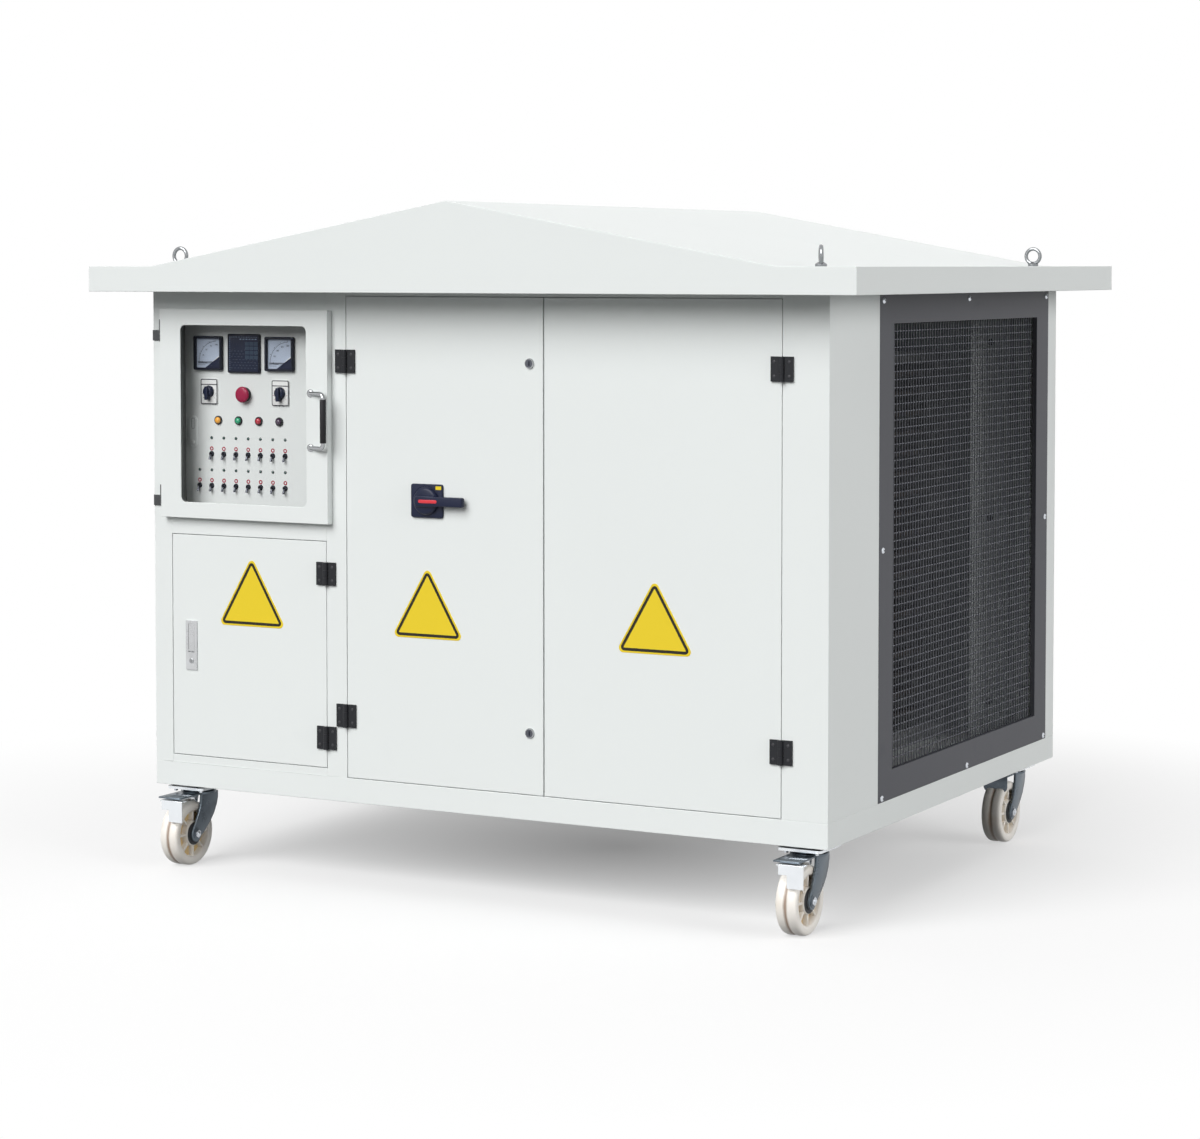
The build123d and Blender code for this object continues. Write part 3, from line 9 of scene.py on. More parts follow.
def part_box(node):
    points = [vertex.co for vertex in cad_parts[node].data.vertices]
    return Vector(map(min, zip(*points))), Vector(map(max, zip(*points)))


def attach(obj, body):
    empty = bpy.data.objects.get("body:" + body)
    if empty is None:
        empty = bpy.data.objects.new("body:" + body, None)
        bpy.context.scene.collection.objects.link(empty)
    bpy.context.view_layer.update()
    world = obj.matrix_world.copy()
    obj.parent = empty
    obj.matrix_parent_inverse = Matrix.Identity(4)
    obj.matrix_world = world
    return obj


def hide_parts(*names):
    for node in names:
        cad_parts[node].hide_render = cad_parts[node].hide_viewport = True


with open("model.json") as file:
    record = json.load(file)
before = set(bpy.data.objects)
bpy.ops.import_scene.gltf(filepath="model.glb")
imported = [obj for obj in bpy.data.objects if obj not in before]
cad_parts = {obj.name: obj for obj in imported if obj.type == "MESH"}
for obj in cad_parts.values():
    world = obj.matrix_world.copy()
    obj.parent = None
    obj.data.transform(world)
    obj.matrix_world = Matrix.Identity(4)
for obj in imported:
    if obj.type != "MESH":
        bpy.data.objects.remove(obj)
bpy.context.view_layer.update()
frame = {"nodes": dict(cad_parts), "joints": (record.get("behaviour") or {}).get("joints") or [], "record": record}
joints = {joint["name"]: joint for joint in frame["joints"]}
mounts = {mount["name"]: mount for mount in frame["record"]["mounts"]}
print("frame loaded:", len(frame["nodes"]), "nodes")

# Camera, lamps and floor

cameraPlace = {
    "lens": 90.705, "shiftX": 0.00243, "shiftY": -0.13,
    "place": (3.45749, -6.47146, 1.42285), "turn": 28.4786, "pitch": 2.8191,
}
studio = {
    "skyLevel": 0.13, "floorSize": 60.0, "floorSeen": 0.93, "floorBounce": 0.15,
    "clearNear": 2.0, "clearFade": 3.0, "shadowKept": 0.13,
    "lamps": {
    "frontLamp": {"strength": 3.25, "angle": 48.0, "from": (-0.17, -0.80, 0.574), "inGloss": True},
    "sideLamp": {"strength": 2.05, "angle": 50.0, "from": (0.97, 0.05, 0.24), "inGloss": False},
    "backLamp": {"strength": 1.05, "angle": 60.0, "from": (-0.66, 0.70, 0.25), "inGloss": False},
    },
}

camera = bpy.data.objects.new("camera", bpy.data.cameras.new("camera"))
camera.data.lens = cameraPlace["lens"]
camera.data.shift_x = cameraPlace["shiftX"]
camera.data.shift_y = cameraPlace["shiftY"]
camera.location = cameraPlace["place"]
camera.rotation_euler = (radians(90 - cameraPlace["pitch"]), 0, radians(cameraPlace["turn"]))
bpy.context.scene.collection.objects.link(camera)
bpy.context.scene.camera = camera
bpy.context.scene.view_settings.view_transform = "Standard"

for name, plan in studio["lamps"].items():
    lamp = bpy.data.objects.new(name, bpy.data.lights.new(name, "SUN"))
    lamp.data.energy = plan["strength"]
    lamp.data.angle = radians(plan["angle"])
    lamp.visible_glossy = plan["inGloss"]
    lamp.rotation_euler = Vector(plan["from"]).to_track_quat("Z", "Y").to_euler()
    bpy.context.scene.collection.objects.link(lamp)


class Signal:
    # One socket of a shader tree; arithmetic on it adds Math nodes, and node() adds any other node.
    def __init__(self, tree, socket=None):
        self.tree = tree
        self.socket = socket

    def node(self, kind, settings=None, sockets=None, output=0):
        made = self.tree.nodes.new(kind)
        for key, value in (settings or {}).items():
            if key == "stops":
                ramp = made.color_ramp
                for place, colour in value[len(ramp.elements):]:
                    ramp.elements.new(place)
                for element, (place, colour) in zip(ramp.elements, value):
                    element.position = place
                    element.color = colour
            else:
                setattr(made, key, value)
        for key, value in (sockets or {}).items():
            if isinstance(value, Signal):
                self.tree.links.new(value.socket, made.inputs[key])
            else:
                made.inputs[key].default_value = value
        return Signal(self.tree, made.outputs[output] if made.outputs else None)

    def maths(self, operation, first, second=0.0):
        return self.node("ShaderNodeMath", {"operation": operation}, {0: first, 1: second})

    def clamped(self):
        return self.node("ShaderNodeMath", {"operation": "ADD", "use_clamp": True}, {0: self, 1: 0.0})

    def __add__(self, other):
        return self.maths("ADD", self, other)

    def __radd__(self, other):
        return self.maths("ADD", other, self)

    def __sub__(self, other):
        return self.maths("SUBTRACT", self, other)

    def __rsub__(self, other):
        return self.maths("SUBTRACT", other, self)

    def __mul__(self, other):
        return self.maths("MULTIPLY", self, other)

    def __rmul__(self, other):
        return self.maths("MULTIPLY", other, self)

    def __truediv__(self, other):
        return self.maths("DIVIDE", self, other)

    def __abs__(self):
        return self.maths("ABSOLUTE", self)


def seenDirectly(start):
    # 1 for rays from the camera, from gloss or through glass, 0 for the light that falls on things
    rays = [start.node("ShaderNodeLightPath", output=name) for name in
        ("Is Camera Ray", "Is Glossy Ray", "Is Transmission Ray")]
    return (rays[0] + rays[1] + rays[2]).clamped()


world = bpy.data.worlds.new("studioWorld")
bpy.context.scene.world = world
world.use_nodes = True
world.node_tree.nodes.clear()
sky = Signal(world.node_tree)
skyLevel = studio["skyLevel"] + (1 - studio["skyLevel"]) * seenDirectly(sky)
background = sky.node("ShaderNodeBackground", {}, {"Color": (1, 1, 1, 1), "Strength": skyLevel})
sky.node("ShaderNodeOutputWorld", {}, {"Surface": background})

floorMesh = bmesh.new()
bmesh.ops.create_grid(floorMesh, x_segments=1, y_segments=1, size=studio["floorSize"])
floorData = bpy.data.meshes.new("floor")
floorMesh.to_mesh(floorData)
floorMesh.free()
floor = bpy.data.objects.new("floor", floorData)
bpy.context.scene.collection.objects.link(floor)
floorFinish = bpy.data.materials.new("floorFinish")
floorFinish.use_nodes = True
floorFinish.node_tree.nodes.clear()
ground = Signal(floorFinish.node_tree)
groundSpot = ground.node("ShaderNodeTexCoord", output="Object")
groundReach = ground.node("ShaderNodeVectorMath", {"operation": "LENGTH"}, {0: groundSpot}, "Value")
clearing = (1 - studio["shadowKept"] + (groundReach - studio["clearNear"]) / studio["clearFade"]).clamped()
groundShade = studio["floorBounce"] + (studio["floorSeen"] - studio["floorBounce"]) * seenDirectly(ground)
groundColour = ground.node("ShaderNodeCombineColor", {},
    {"Red": groundShade, "Green": groundShade, "Blue": groundShade})
groundPaint = ground.node("ShaderNodeBsdfDiffuse", {}, {"Color": groundColour})
groundGlow = ground.node("ShaderNodeEmission", {}, {"Color": (1, 1, 1, 1), "Strength": 1.0})
groundMix = ground.node("ShaderNodeMixShader", {},
    {0: clearing * seenDirectly(ground), 1: groundPaint, 2: groundGlow})
ground.node("ShaderNodeOutputMaterial", {}, {"Surface": groundMix})
floorData.materials.append(floorFinish)
print("camera, lamps and floor")

# Finishes


def newFinish(name, build):
    material = bpy.data.materials.new(name)
    material.use_nodes = True
    material.node_tree.nodes.clear()
    start = Signal(material.node_tree)
    spot = start.node("ShaderNodeTexCoord", output="Object")
    surface = start.node("ShaderNodeBsdfPrincipled", {}, build(start, spot))
    start.node("ShaderNodeOutputMaterial", {}, {"Surface": surface})
    return material


def noise(start, spot, scale, detail=2.0, stretch=None):
    if stretch:
        spot = start.node("ShaderNodeMapping", {}, {"Vector": spot, "Scale": stretch})
    return start.node("ShaderNodeTexNoise", {}, {"Vector": spot, "Scale": scale, "Detail": detail})


def mixColour(start, factor, first, second):
    return start.node("ShaderNodeMix", {"data_type": "RGBA"}, {0: factor, 6: first, 7: second}, 2)


def bump(start, height, depth, strength):
    return start.node("ShaderNodeBump", {}, {"Height": height, "Distance": depth, "Strength": strength})


def rgba(colour, gain=1.0):
    return (*[channel * gain for channel in colour], 1)


def powderCoat(colour, roughness, grain, cloud=0.03):
    def build(start, spot):
        broad = noise(start, spot, 2.3, 3.0)
        fine = noise(start, spot, grain, 2.0)
        scuff = (noise(start, spot, 14.0, 6.0) - 0.62).clamped()
        tint = mixColour(start, broad, rgba(colour, 1 - cloud), rgba(colour, 1 + cloud))
        return {
            "Base Color": mixColour(start, scuff * 0.35, tint, rgba(colour, 0.86)),
            "Roughness": roughness + (fine - 0.5) * 0.12 + scuff * 0.3, "Specular IOR Level": 0.25,
            "Normal": bump(start, fine, 0.00025, 0.5),
        }
    return build


def plated(colour, roughness, metallic, cloud, grain=220.0, stretch=None):
    def build(start, spot):
        patches = noise(start, spot, 38.0, 5.0, stretch)
        fine = noise(start, spot, grain, 3.0, stretch)
        return {
            "Base Color": mixColour(start, patches, rgba(colour, 1 - cloud), rgba(colour, 1 + cloud)),
            "Metallic": metallic,
            "Roughness": roughness + (patches - 0.5) * 0.25 + (fine - 0.5) * 0.1,
            "Normal": bump(start, fine, 0.0001, 0.4),
        }
    return build


def spangled(colour, roughness):
    def build(start, spot):
        cell = start.node("ShaderNodeTexVoronoi", {}, {"Vector": spot, "Scale": 75.0}, "Color")
        shade = start.node("ShaderNodeSeparateColor", {}, {"Color": cell})
        return {
            "Base Color": mixColour(start, shade, rgba(colour, 0.82), rgba(colour, 1.12)),
            "Metallic": 0.75,
            "Roughness": roughness + (shade - 0.5) * 0.18,
        }
    return build


def moulded(colour, roughness, grain=900.0, coat=0.0):
    def build(start, spot):
        fine = noise(start, spot, grain, 2.0)
        broad = noise(start, spot, 22.0, 2.0)
        return {
            "Base Color": mixColour(start, broad, rgba(colour, 0.93), rgba(colour, 1.07)),
            "Roughness": roughness + (fine - 0.5) * 0.14, "Specular IOR Level": 0.2, "Coat Weight": coat,
            "Normal": bump(start, fine, 0.00012, 0.4),
        }
    return build


def nylonCast(colour, stain, groove=None):
    # groove: a darker brown band round the middle of a tread, by the distance from the middle plane of the wheels
    def build(start, spot):
        cloud = noise(start, spot, 17.0, 4.0)
        fine = noise(start, spot, 320.0, 3.0)
        worn = ((cloud - 0.52) * 2.2).clamped()
        tint = mixColour(start, worn, rgba(colour), rgba(stain))
        if groove:
            across = start.node("ShaderNodeSeparateXYZ", {}, {0: spot}, "X")
            away = abs(abs(across) - groove["middle"])
            middleBand = (1.25 - away / groove["width"] + (cloud - 0.5) * 1.2).clamped()
            tint = mixColour(start, middleBand * 0.85, tint, rgba(groove["colour"]))
        return {
            "Base Color": tint,
            "Roughness": 0.42 + (fine - 0.5) * 0.2,
            "Normal": bump(start, fine, 0.0002, 0.4),
        }
    return build


def heatStained(start, spot):
    band = noise(start, spot, 9.0, 4.0, (1, 3, 1))
    fine = noise(start, spot, 260.0, 2.0)
    tint = start.node("ShaderNodeValToRGB", {"stops": [
        (0.3, (0.055, 0.055, 0.06, 1)), (0.5, (0.10, 0.085, 0.075, 1)), (0.68, (0.085, 0.085, 0.11, 1)),
    ]}, {"Fac": band})
    return {"Base Color": tint, "Metallic": 0.6, "Roughness": 0.5 + (fine - 0.5) * 0.2}


def clearSheet(start, spot):
    haze = noise(start, spot, 6.0, 3.0)
    return {"Base Color": (0.05, 0.056, 0.056, 1), "Roughness": 0.05 + haze * 0.04, "Alpha": 0.025,
        "IOR": 1.49, "Specular IOR Level": 0.1}


def tintedLens(colour, glow=0.0):
    def build(start, spot):
        grain = noise(start, spot, 500.0, 1.0)
        return {
            "Base Color": mixColour(start, grain, rgba(colour, 0.9), rgba(colour, 1.1)),
            "Roughness": 0.16 + grain * 0.08, "Coat Weight": 0.6, "Emission Color": rgba(colour),
            "Emission Strength": glow,
        }
    return build


greyWhite = (0.785, 0.815, 0.805)
finishPlan = {
    "bodyPaint": powderCoat(greyWhite, 0.42, 620.0, 0.012),
    "grillePaint": powderCoat((0.056, 0.058, 0.068), 0.46, 700.0, 0.06),
    "zincPlate": plated((0.125, 0.150, 0.175), 0.30, 0.85, 0.35),
    "brightZinc": plated((0.62, 0.65, 0.69), 0.22, 0.95, 0.12),
    "pedalZinc": plated((0.84, 0.87, 0.90), 0.2, 0.8, 0.06),
    "eyeSteel": plated((0.30, 0.31, 0.32), 0.16, 0.95, 0.15),
    "hingeSteel": plated((0.085, 0.088, 0.092), 0.3, 0.9, 0.2),
    "hingeBlack": moulded((0.017, 0.018, 0.021), 0.42),
    "chrome": plated((0.40, 0.41, 0.42), 0.10, 1.0, 0.04, 400.0),
    "nylonCream": nylonCast((0.90, 0.865, 0.81), (0.80, 0.71, 0.60), {
    "middle": 0.8, "width": 0.0048, "colour": (0.26, 0.16, 0.10)}),
    "nylonAmber": nylonCast((0.72, 0.53, 0.26), (0.48, 0.27, 0.09)),
    "sealDark": moulded((0.05, 0.052, 0.055), 0.5),
    "panelBlack": moulded((0.007, 0.009, 0.020), 0.42),
    "knobNavy": moulded((0.008, 0.012, 0.036), 0.36, coat=0.08),
    "gripBlack": moulded((0.018, 0.017, 0.019), 0.55, 500.0),
    "stopRed": moulded((0.33, 0.012, 0.058), 0.34, coat=0.1),
    "barRed": moulded((0.70, 0.045, 0.06), 0.35, coat=0.2),
    "labelRed": moulded((0.36, 0.012, 0.045), 0.45),
    "plateYellow": powderCoat((0.80, 0.60, 0.028), 0.38, 700.0, 0.02),
    "plateRim": moulded((0.02, 0.018, 0.012), 0.45),
    "dialPale": moulded((0.47, 0.54, 0.66), 0.5),
    "dialMark": moulded((0.03, 0.035, 0.05), 0.5),
    "needleDark": moulded((0.03, 0.03, 0.035), 0.4),
    "labelWhite": moulded((0.80, 0.81, 0.80), 0.45),
    "displayGlass": moulded((0.007, 0.012, 0.036), 0.2, coat=0.15),
    "displayCell": moulded((0.030, 0.050, 0.082), 0.35),
    "displayMark": moulded((0.22, 0.30, 0.42), 0.4),
    "clearPane": clearSheet,
    "galvanised": spangled((0.42, 0.43, 0.44), 0.42),
    "copperBar": plated((0.72, 0.36, 0.20), 0.32, 1.0, 0.18, 200.0, (1, 1, 0.15)),
    "elementSteel": heatStained,
    "castGrey": powderCoat((0.20, 0.22, 0.24), 0.5, 260.0, 0.08),
    "moulding": moulded((0.035, 0.036, 0.040), 0.48),
    "ringRust": powderCoat((0.19, 0.05, 0.035), 0.6, 240.0, 0.2),
    "lampAmber": tintedLens((0.80, 0.36, 0.04), 0.25),
    "lampGreen": tintedLens((0.0, 0.30, 0.14), 0.2),
    "lampRed": tintedLens((0.42, 0.01, 0.03), 0.15),
    "lampDark": tintedLens((0.05, 0.02, 0.06)),
    "ledGreen": tintedLens((0.0, 0.05, 0.04)),
    "wireGrey": powderCoat((0.40, 0.41, 0.45), 0.5, 700.0, 0.06),
    "wireDark": powderCoat((0.13, 0.135, 0.155), 0.5, 700.0, 0.06),
    "screwDark": moulded((0.05, 0.05, 0.055), 0.3),
    "satinSteel": plated((0.56, 0.57, 0.58), 0.3, 0.9, 0.05, 420.0),
    "nutDark": plated((0.03, 0.033, 0.045), 0.35, 0.8, 0.2),
    "leverSteel": plated((0.10, 0.105, 0.125), 0.25, 0.9, 0.1),
    # painted shade: a grey for the shadow line round the slot of the panel latch
    "slotShadeGrey": moulded((0.30, 0.31, 0.31), 0.5),
    # grey of the window rubber; on the bay lining this grey is painted shade for the shadowed walls inside the
    # window bay
    "rubberAndShadeGrey": moulded((0.17, 0.178, 0.175), 0.8),
}
finishes = {name: newFinish(name, build) for name, build in finishPlan.items()}
print("finishes:", len(finishes))

# What every piece is made with


def addBox(mesh, low, high, bevel=0.0, segments=2):
    low, high = Vector(low), Vector(high)
    corners = bmesh.ops.create_cube(mesh, size=1)["verts"]
    bmesh.ops.scale(mesh, vec=high - low, verts=corners)
    bmesh.ops.translate(mesh, vec=(low + high) / 2, verts=corners)
    if bevel:
        edges = list({edge for corner in corners for edge in corner.link_edges})
        bmesh.ops.bevel(mesh, geom=edges, offset=bevel, segments=segments, profile=0.5,
            affect="EDGES", material=-1, clamp_overlap=True)


def facing(axis):
    return Vector(axis).to_track_quat("Z", "Y").to_matrix()


def addLathe(mesh, profile, centre, axis, steps=32, ring=False):
    # profile is (radius, height along the axis); a ring profile closes on itself
    centre, turn = Vector(centre), facing(axis)
    points = [mesh.verts.new(centre + turn @ Vector((radius, 0, height))) for radius, height in profile]
    pairs = list(zip(points, points[1:])) + ([(points[-1], points[0])] if ring else [])
    edges = [mesh.edges.new(pair) for pair in pairs]
    bmesh.ops.spin(mesh, geom=points + edges, cent=centre, axis=Vector(axis), angle=2 * pi,
        steps=steps, use_merge=True)


def addPrism(mesh, outline, centre, axis, depth, bevel=0.0, segments=2, up=(0, 0, 1)):
    # outline is (across, up) on the face that looks along axis; depth goes back from it
    axis, up, centre = Vector(axis).normalized(), Vector(up), Vector(centre)
    across = up.cross(axis).normalized()
    front = [mesh.verts.new(centre + across * a + up * b) for a, b in outline]
    face = mesh.faces.new(front)
    made = bmesh.ops.extrude_face_region(mesh, geom=[face])
    moved = [item for item in made["geom"] if isinstance(item, bmesh.types.BMVert)]
    bmesh.ops.translate(mesh, vec=-axis * depth, verts=moved)
    if bevel:
        rim = set(front)
        edges = {edge for vert in front for edge in vert.link_edges if set(edge.verts) <= rim}
        bmesh.ops.bevel(mesh, geom=list(edges), offset=bevel, segments=segments, profile=0.5,
            affect="EDGES", material=-1, clamp_overlap=True)


def addFrame(mesh, outline, width, centre, axis, depth, up=(0, 0, 1)):
    # a flat ring as wide as width inside the outline, depth thick
    axis, up, centre = Vector(axis).normalized(), Vector(up), Vector(centre)
    across = up.cross(axis).normalized()
    face = mesh.faces.new([mesh.verts.new(centre + across * a + up * b) for a, b in outline])
    face.normal_update()
    ring = bmesh.ops.inset_region(mesh, faces=[face], thickness=width, use_boundary=True,
        use_even_offset=True)["faces"]
    bmesh.ops.delete(mesh, geom=[face], context="FACES_ONLY")
    made = bmesh.ops.extrude_face_region(mesh, geom=ring)
    moved = [item for item in made["geom"] if isinstance(item, bmesh.types.BMVert)]
    bmesh.ops.translate(mesh, vec=-axis * depth, verts=moved)


def roundedPath(corners, radius, steps=6):
    # the corners of a path, each but the ends rounded
    corners = [Vector(corner) for corner in corners]
    path = [corners[0]]
    for before, corner, after in zip(corners, corners[1:], corners[2:]):
        into, out = (before - corner).normalized(), (after - corner).normalized()
        half = into.angle(out) / 2
        middle = corner + (into + out).normalized() * radius / sin(half)
        start, end = corner + into * radius / tan(half) - middle, corner + out * radius / tan(half) - middle
        for step in range(steps + 1):
            path.append(middle + start.normalized().slerp(end.normalized(), step / steps) * radius)
    return path + [corners[-1]]


def addTube(mesh, path, radius, count=16):
    # radius: one for the whole tube, or one for each point of the path
    path = [Vector(point) for point in path]
    radii = radius if isinstance(radius, tuple) else [radius] * len(path)
    rings = []
    for index, point in enumerate(path):
        along = (path[min(index + 1, len(path) - 1)] - path[max(index - 1, 0)]).normalized()
        place = Matrix.Translation(point) @ along.to_track_quat("Z", "Y").to_matrix().to_4x4()
        ends = index in (0, len(path) - 1)
        circle = bmesh.ops.create_circle(mesh, cap_ends=ends, segments=count, radius=radii[index],
            matrix=place)
        rim = set(circle["verts"])
        rings.append([edge for vert in rim for edge in vert.link_edges if set(edge.verts) <= rim])
    for first, second in zip(rings, rings[1:]):
        bmesh.ops.bridge_loops(mesh, edges=list(set(first)) + list(set(second)))


def addTurned(mesh, centre, axis, angles, make):
    # what make() adds, once for each angle about the axis
    for angle in angles:
        before = set(mesh.verts)
        make()
        added = [vert for vert in mesh.verts if vert not in before]
        bmesh.ops.rotate(mesh, verts=added, cent=Vector(centre),
            matrix=Matrix.Rotation(angle, 3, Vector(axis)))


def addNumber(mesh, number, size, centre):
    # a plain number that faces the front
    words = bpy.data.curves.new("number", "FONT")
    words.body, words.size, words.extrude = str(number), size, 0.0001
    words.align_x, words.align_y, words.resolution_u = "CENTER", "CENTER", 2
    holder = bpy.data.objects.new("number", words)
    flat = holder.to_mesh()
    flat.transform(Matrix.Translation(Vector(centre)) @ Matrix.Rotation(pi / 2, 4, "X"))
    mesh.from_mesh(flat)
    holder.to_mesh_clear()
    bpy.data.objects.remove(holder)
    bpy.data.curves.remove(words)


def roundedOutline(width, height, corner, steps=5):
    points = []
    for turn, (sideX, sideY) in enumerate(((1, 1), (-1, 1), (-1, -1), (1, -1))):
        for step in range(steps + 1):
            angle = (turn + step / steps) * pi / 2
            points.append((sideX * (width / 2 - corner) + corner * cos(angle),
                sideY * (height / 2 - corner) + corner * sin(angle)))
    return points


def circleOutline(radius, count=32, start=0.0):
    return [(radius * cos(start + 2 * pi * i / count), radius * sin(start + 2 * pi * i / count))
        for i in range(count)]


def triangleOutline(width, height, corner, steps=6):
    # a triangle on its base, its corners rounded
    peak = atan2(height, width / 2)
    spread = corner / tan(peak / 2)
    rise = corner / cos(peak)
    spots = [(width / 2 - spread, corner - height / 2, -pi / 2, pi / 2 - peak),
        (0, height / 2 - rise, pi / 2 - peak, pi / 2 + peak),
        (spread - width / 2, corner - height / 2, pi / 2 + peak, 3 * pi / 2)]
    points = []
    for x, y, low, high in spots:
        for step in range(steps + 1):
            angle = low + (high - low) * step / steps
            points.append((x + corner * cos(angle), y + corner * sin(angle)))
    return points


def finishPiece(name, mesh, body, finish, replaces=(), smooth=35.0, merge=True):
    if merge:
        bmesh.ops.remove_doubles(mesh, verts=mesh.verts, dist=0.000002)
        bmesh.ops.recalc_face_normals(mesh, faces=mesh.faces)
    data = bpy.data.meshes.new(name)
    mesh.to_mesh(data)
    mesh.free()
    for polygon in data.polygons:
        polygon.use_smooth = smooth > 0
    data.set_sharp_from_angle(angle=radians(smooth))
    piece = bpy.data.objects.new(name, data)
    bpy.context.scene.collection.objects.link(piece)
    data.materials.append(finishes[finish])
    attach(piece, body)
    if replaces:
        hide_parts(*replaces)
    return piece


bodyOf = {node: body for body, nodes in frame["record"]["behaviour"]["bodies"].items() for node in nodes}


def dressed(node, finish, rounding=0.0006, segments=2, smooth=35.0, sharper=50.0, keep=None, label="dressed"):
    # the node's own shape, or the part of it that keep() is true of, with its hard edges rounded;
    # flat sheets have smooth at 0, so that no shading runs across them
    mesh = bmesh.new()
    mesh.from_mesh(frame["nodes"][node].data)
    bmesh.ops.remove_doubles(mesh, verts=mesh.verts, dist=0.000005)
    if keep:
        others = [vert for vert in mesh.verts if not keep(vert.co)]
        bmesh.ops.delete(mesh, geom=others, context="VERTS")
    bmesh.ops.dissolve_limit(mesh, angle_limit=radians(0.5), verts=mesh.verts, edges=mesh.edges)
    if not smooth:
        bmesh.ops.connect_verts_concave(mesh, faces=mesh.faces)
    piece = finishPiece(f"{node}.{label}", mesh, bodyOf[node], finish, [node], smooth,
        False)
    if rounding:
        edgeRound = piece.modifiers.new("edgeRound", "BEVEL")
        edgeRound.width = rounding
        edgeRound.segments = segments
        edgeRound.limit_method = "ANGLE"
        edgeRound.angle_limit = radians(sharper)
        edgeRound.use_clamp_overlap = True
        edgeRound.loop_slide = False
    return piece


toFront, toRear, toRight, toLeft, upwards, downwards = (
    (0, -1, 0), (0, 1, 0), (1, 0, 0), (-1, 0, 0), (0, 0, 1), (0, 0, -1))

# Sheet metal of the cabinet

sheetMetal = {
    "base_frame": 0.0012, "front_frame": 0.001, "side_frames": 0.001, "rear_panel": 0.0012, "roof_canopy": 0.0015,
    "cable_door": 0.0016, "middle_door": 0.0016, "right_door": 0.0016, "window_door": 0.0022,
    "control_panel": 0.0008, "grille_frames": 0.0008,
}
for node, rounding in sheetMetal.items():
    dressed(node, "grillePaint" if node == "grille_frames" else "bodyPaint", rounding, 3, smooth=0)

meshSplit = {"upright": 0.858, "slack": 0.00001}
dressed("grille_meshes", "wireDark", 0, label="uprights",
    keep=lambda spot: abs(spot.x) > meshSplit["upright"] + meshSplit["slack"])
dressed("grille_meshes", "wireGrey", 0, label="levels",
    keep=lambda spot: abs(spot.x) < meshSplit["upright"] + meshSplit["slack"])
print("sheet metal and grilles")

# Lifting eyes

liftingEye = {"ring": 0.018, "tube": 0.0045, "rise": 0.0245, "collar": [
    (0.0, 0.0), (0.0125, 0.0), (0.0128, 0.001), (0.0128, 0.0048), (0.0112, 0.0066), (0.0085, 0.0078),
    (0.0062, 0.0098), (0.0, 0.0098)]}
mesh = bmesh.new()
for name, mount in mounts.items():
    if name.endswith("lifting_eye"):
        centre, axis = Vector(mount["pos_m"]), Vector(mount["axis"])
        turn = facing(axis)
        tube = [mesh.verts.new(centre + turn @ Vector((liftingEye["ring"] + a, 0, b)))
            for a, b in circleOutline(liftingEye["tube"], 14)]
        rim = [mesh.edges.new(pair) for pair in zip(tube, tube[1:] + tube[:1])]
        bmesh.ops.spin(mesh, geom=tube + rim, cent=centre, axis=axis, angle=2 * pi, steps=40, use_merge=True)
        addLathe(mesh, liftingEye["collar"], centre - Vector((0, 0, liftingEye["rise"])), upwards, 28)
finishPiece("liftingEyes", mesh, "cabinet", "eyeSteel", ["lifting_eyes"], 40)

# Casters

caster = {
    "tread": [(0.0545, -0.0216), (0.0560, -0.0232), (0.0600, -0.0244), (0.0670, -0.0247), (0.0706, -0.0237),
    (0.0731, -0.0212), (0.0746, -0.0172), (0.0750, -0.0120), (0.0749, -0.0062), (0.0744, -0.0030),
    (0.0734, -0.0013), (0.0731, 0.0), (0.0734, 0.0013), (0.0744, 0.0030), (0.0749, 0.0062),
    (0.0750, 0.0120), (0.0746, 0.0172), (0.0731, 0.0212), (0.0706, 0.0237), (0.0670, 0.0247),
    (0.0600, 0.0244), (0.0560, 0.0232), (0.0545, 0.0216), (0.0520, 0.0085), (0.0520, -0.0085)],
    "hub": [(0.0088, -0.0240), (0.0215, -0.0240), (0.0285, -0.0224), (0.0300, -0.0204), (0.0315, -0.0085),
    (0.0315, 0.0085), (0.0300, 0.0204), (0.0285, 0.0224), (0.0215, 0.0240), (0.0088, 0.0240)],
    "web": [(0.030, -0.0080), (0.0535, -0.0080), (0.0535, 0.0080), (0.030, 0.0080)],
    "seal": [(0.0090, 0.0230), (0.0092, 0.0253), (0.0140, 0.0253), (0.0150, 0.0246), (0.0182, 0.0246),
    (0.0190, 0.0254), (0.0216, 0.0254), (0.0223, 0.0247), (0.0252, 0.0247), (0.0272, 0.0240),
    (0.0272, 0.0230)],
    "ribs": 8, "rib": (0.0052, 0.0200), "ribSpan": (0.029, 0.0545),
    "legFront": [(0.019, 0.1660), (0.0175, 0.1500), (0.0130, 0.1340), (0.0055, 0.1180), (-0.0045, 0.1020),
    (-0.0145, 0.0880)],
    "legRear": [(0.0190, 0.0685), (0.0350, 0.0800), (0.0540, 0.0960), (0.0700, 0.1140), (0.0810, 0.1340),
    (0.0860, 0.1500), (0.0862, 0.1660)],
    "legInner": 0.026, "legSheet": 0.005, "flange": 0.00192, "foot": 0.0192, "boss": 0.0135,
    "crown": [(0.0095, -0.006), (0.040, -0.006), (0.042, -0.0045), (0.042, 0), (0.0095, 0)],
    "hoodHalf": 0.0308, "hoodFront": {"front": -0.068, "rear": -0.040}, "hoodRear": 0.030,
    "hoodZ": (0.1652, 0.1692),
    "axle": [(0, -0.032), (0.0076, -0.032), (0.0076, 0.032), (0, 0.032)], "tip": 0.0315,
    "nut": [(0, 0.0085), (0.0025, 0.0083), (0.0046, 0.0074), (0.0056, 0.0060), (0.0056, 0.0), (0, 0)],
}
cornerNames = ("front_left", "front_right", "rear_left", "rear_right")
